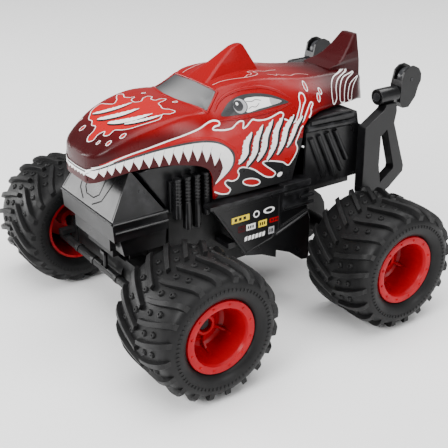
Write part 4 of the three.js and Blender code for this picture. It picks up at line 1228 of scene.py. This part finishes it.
def blank_patches(label, side):
    by_ink = {}
    for ink_used, y, z, hw, hh, kind in PATCHES:
        body = by_ink.setdefault(ink_used, Solid())
        dark = by_ink.setdefault(INK_BLACK, Solid())
        if kind == "round":
            ring = disc(y, z, hw, hh / hw, 28)
            core = disc(y, z, 0.62 * hw, hh / hw, 28)
            body.add(*slab(ring, sill_face(side, SILL_FACE), -0.1, 0.18))
            dark.add(*slab(core, sill_face(side, SILL_FACE), 0.0, 0.13))
        elif kind == "bars":
            for k in range(6):
                u = y - hw + k * (2 * hw / 6)
                body.add(*slab([(u, z - hh), (u + 2.1, z - hh + 0.4), (u + 2.4, z + hh), (u + 0.3,
                    z + hh - 0.4)],
                               sill_face(side, SILL_FACE), -0.1, 0.18))
        else:
            body.add(*slab([(y - hw, z - hh), (y + hw, z - hh), (y + hw, z + hh), (y - hw, z + hh)],
                           sill_face(side, SILL_FACE), -0.1, 0.18))
            for k in range(3):
                u = y - hw * 0.7 + k * hw * 0.5
                dark.add(*slab([(u, z - hh * 0.5), (u + hw * 0.3, z - hh * 0.5), (u + hw * 0.3,
                    z + hh * 0.5), (u, z + hh * 0.5)],
                               sill_face(side, SILL_FACE), 0.0, 0.13))
    for number, (ink_used, body) in enumerate(by_ink.items()):
        piece(f"sill_patch_{number}_{label}", body.mesh("patch"), ink_used, "chassis")


for label, side in (("left", 1), ("right", -1)):
    blank_patches(label, side)
for name in ("wheelie_frame_left", "wheelie_frame_right", "wheelie_fork_left", "wheelie_fork_right"):
    crisp(name, BLACK, 0.7, 3)
for name in ("chassis_tub", "battery_door", "front_axle_beam", "gearbox_case", "gearbox_cover",
             "knuckle_left",
             "knuckle_right", "tie_rod"):
    crisp(name, BLACK_ROUGH, 0.3)
for name in ("wheelie_roller_left", "wheelie_roller_right"):
    crisp(name, GREY_BLACK, 0.4)
for name, material in (("steering_servo", SERVO), ("servo_horn", BLACK), ("axle_gear", NYLON),
                       ("power_switch", NYLON),
                       ("drive_motor", MOTOR), ("motor_pinion", BRASS), ("battery_pack", WRAP),
                       ("circuit_board", BOARD),
                       ("rear_axle_shaft", STEEL), ("battery_door_screw", STEEL), ("kingpin_left", STEEL),
                       ("kingpin_right", STEEL), ("roller_pin_left", GREY_BLACK), ("roller_pin_right",
                           GREY_BLACK),
                       ("wheelie_screw_left", GREY_BLACK), ("wheelie_screw_right", GREY_BLACK),
                       ("body_screw_1", STEEL),
                       ("body_screw_2", STEEL), ("body_screw_3", STEEL), ("body_screw_4", STEEL)):
    crisp(name, material, 0.15)

# ---------- stage, light and camera ----------

floor = bpy.data.objects.new("floor", mesh_of("floor", [(-6, -6, 0), (6, -6, 0), (6, 6, 0), (-6, 6, 0)],
                                              [(0, 1, 2, 3)]))
bpy.context.scene.collection.objects.link(floor)
floor_look = Graph("floor_pale")
floor_look.shader.inputs["Base Color"].default_value = (0.93, 0.93, 0.93, 1)
floor_look.shader.inputs["Roughness"].default_value = 0.9
floor.data.materials.append(floor_look.material)

world = bpy.data.worlds.new("studio")
world.use_nodes = True
world.node_tree.nodes["Background"].inputs[0].default_value = (1, 1, 1, 1)
world.node_tree.nodes["Background"].inputs[1].default_value = 0.34
bpy.context.scene.world = world


def area(name, place, target, size, power):
    data = bpy.data.lights.new(name, "AREA")
    data.shape = "RECTANGLE"
    data.size, data.size_y = size
    data.energy = power
    made = bpy.data.objects.new(name, data)
    bpy.context.scene.collection.objects.link(made)
    made.location = place
    made.rotation_euler = (Vector(target) - Vector(place)).to_track_quat("-Z", "Y").to_euler()


area("low", (-1.15, -0.95, 0.42), (0, -0.1, 0.09), (0.8, 0.55), 17)
area("top", (0.1, -0.1, 1.6), (0, 0, 0.05), (1.8, 1.8), 46)
area("key", (0.45, -1.25, 0.9), (0, 0, 0.08), (0.6, 0.45), 20)
area("side", (1.35, 0.45, 0.55), (0, 0, 0.1), (0.45, 0.6), 9)
area("back", (-0.2, 1.3, 1.2), (0, 0, 0.1), (0.8, 0.5), 9)

camera = bpy.data.cameras.new("camera")
camera.lens = 72.99
camera.sensor_width = 36
camera.clip_start = 0.01
made = bpy.data.objects.new("camera", camera)
bpy.context.scene.collection.objects.link(made)
azimuth, elevation, distance = math.radians(55.43), math.radians(25.009), 0.6492
back = Vector((math.sin(azimuth) * math.cos(elevation), -math.cos(azimuth) * math.cos(elevation),
               math.sin(elevation)))
target = Vector((-0.0047, 0.00016, 0.04641))
made.location = target + back * distance
made.rotation_euler = back.to_track_quat("Z", "Y").to_euler()
bpy.context.scene.camera = made
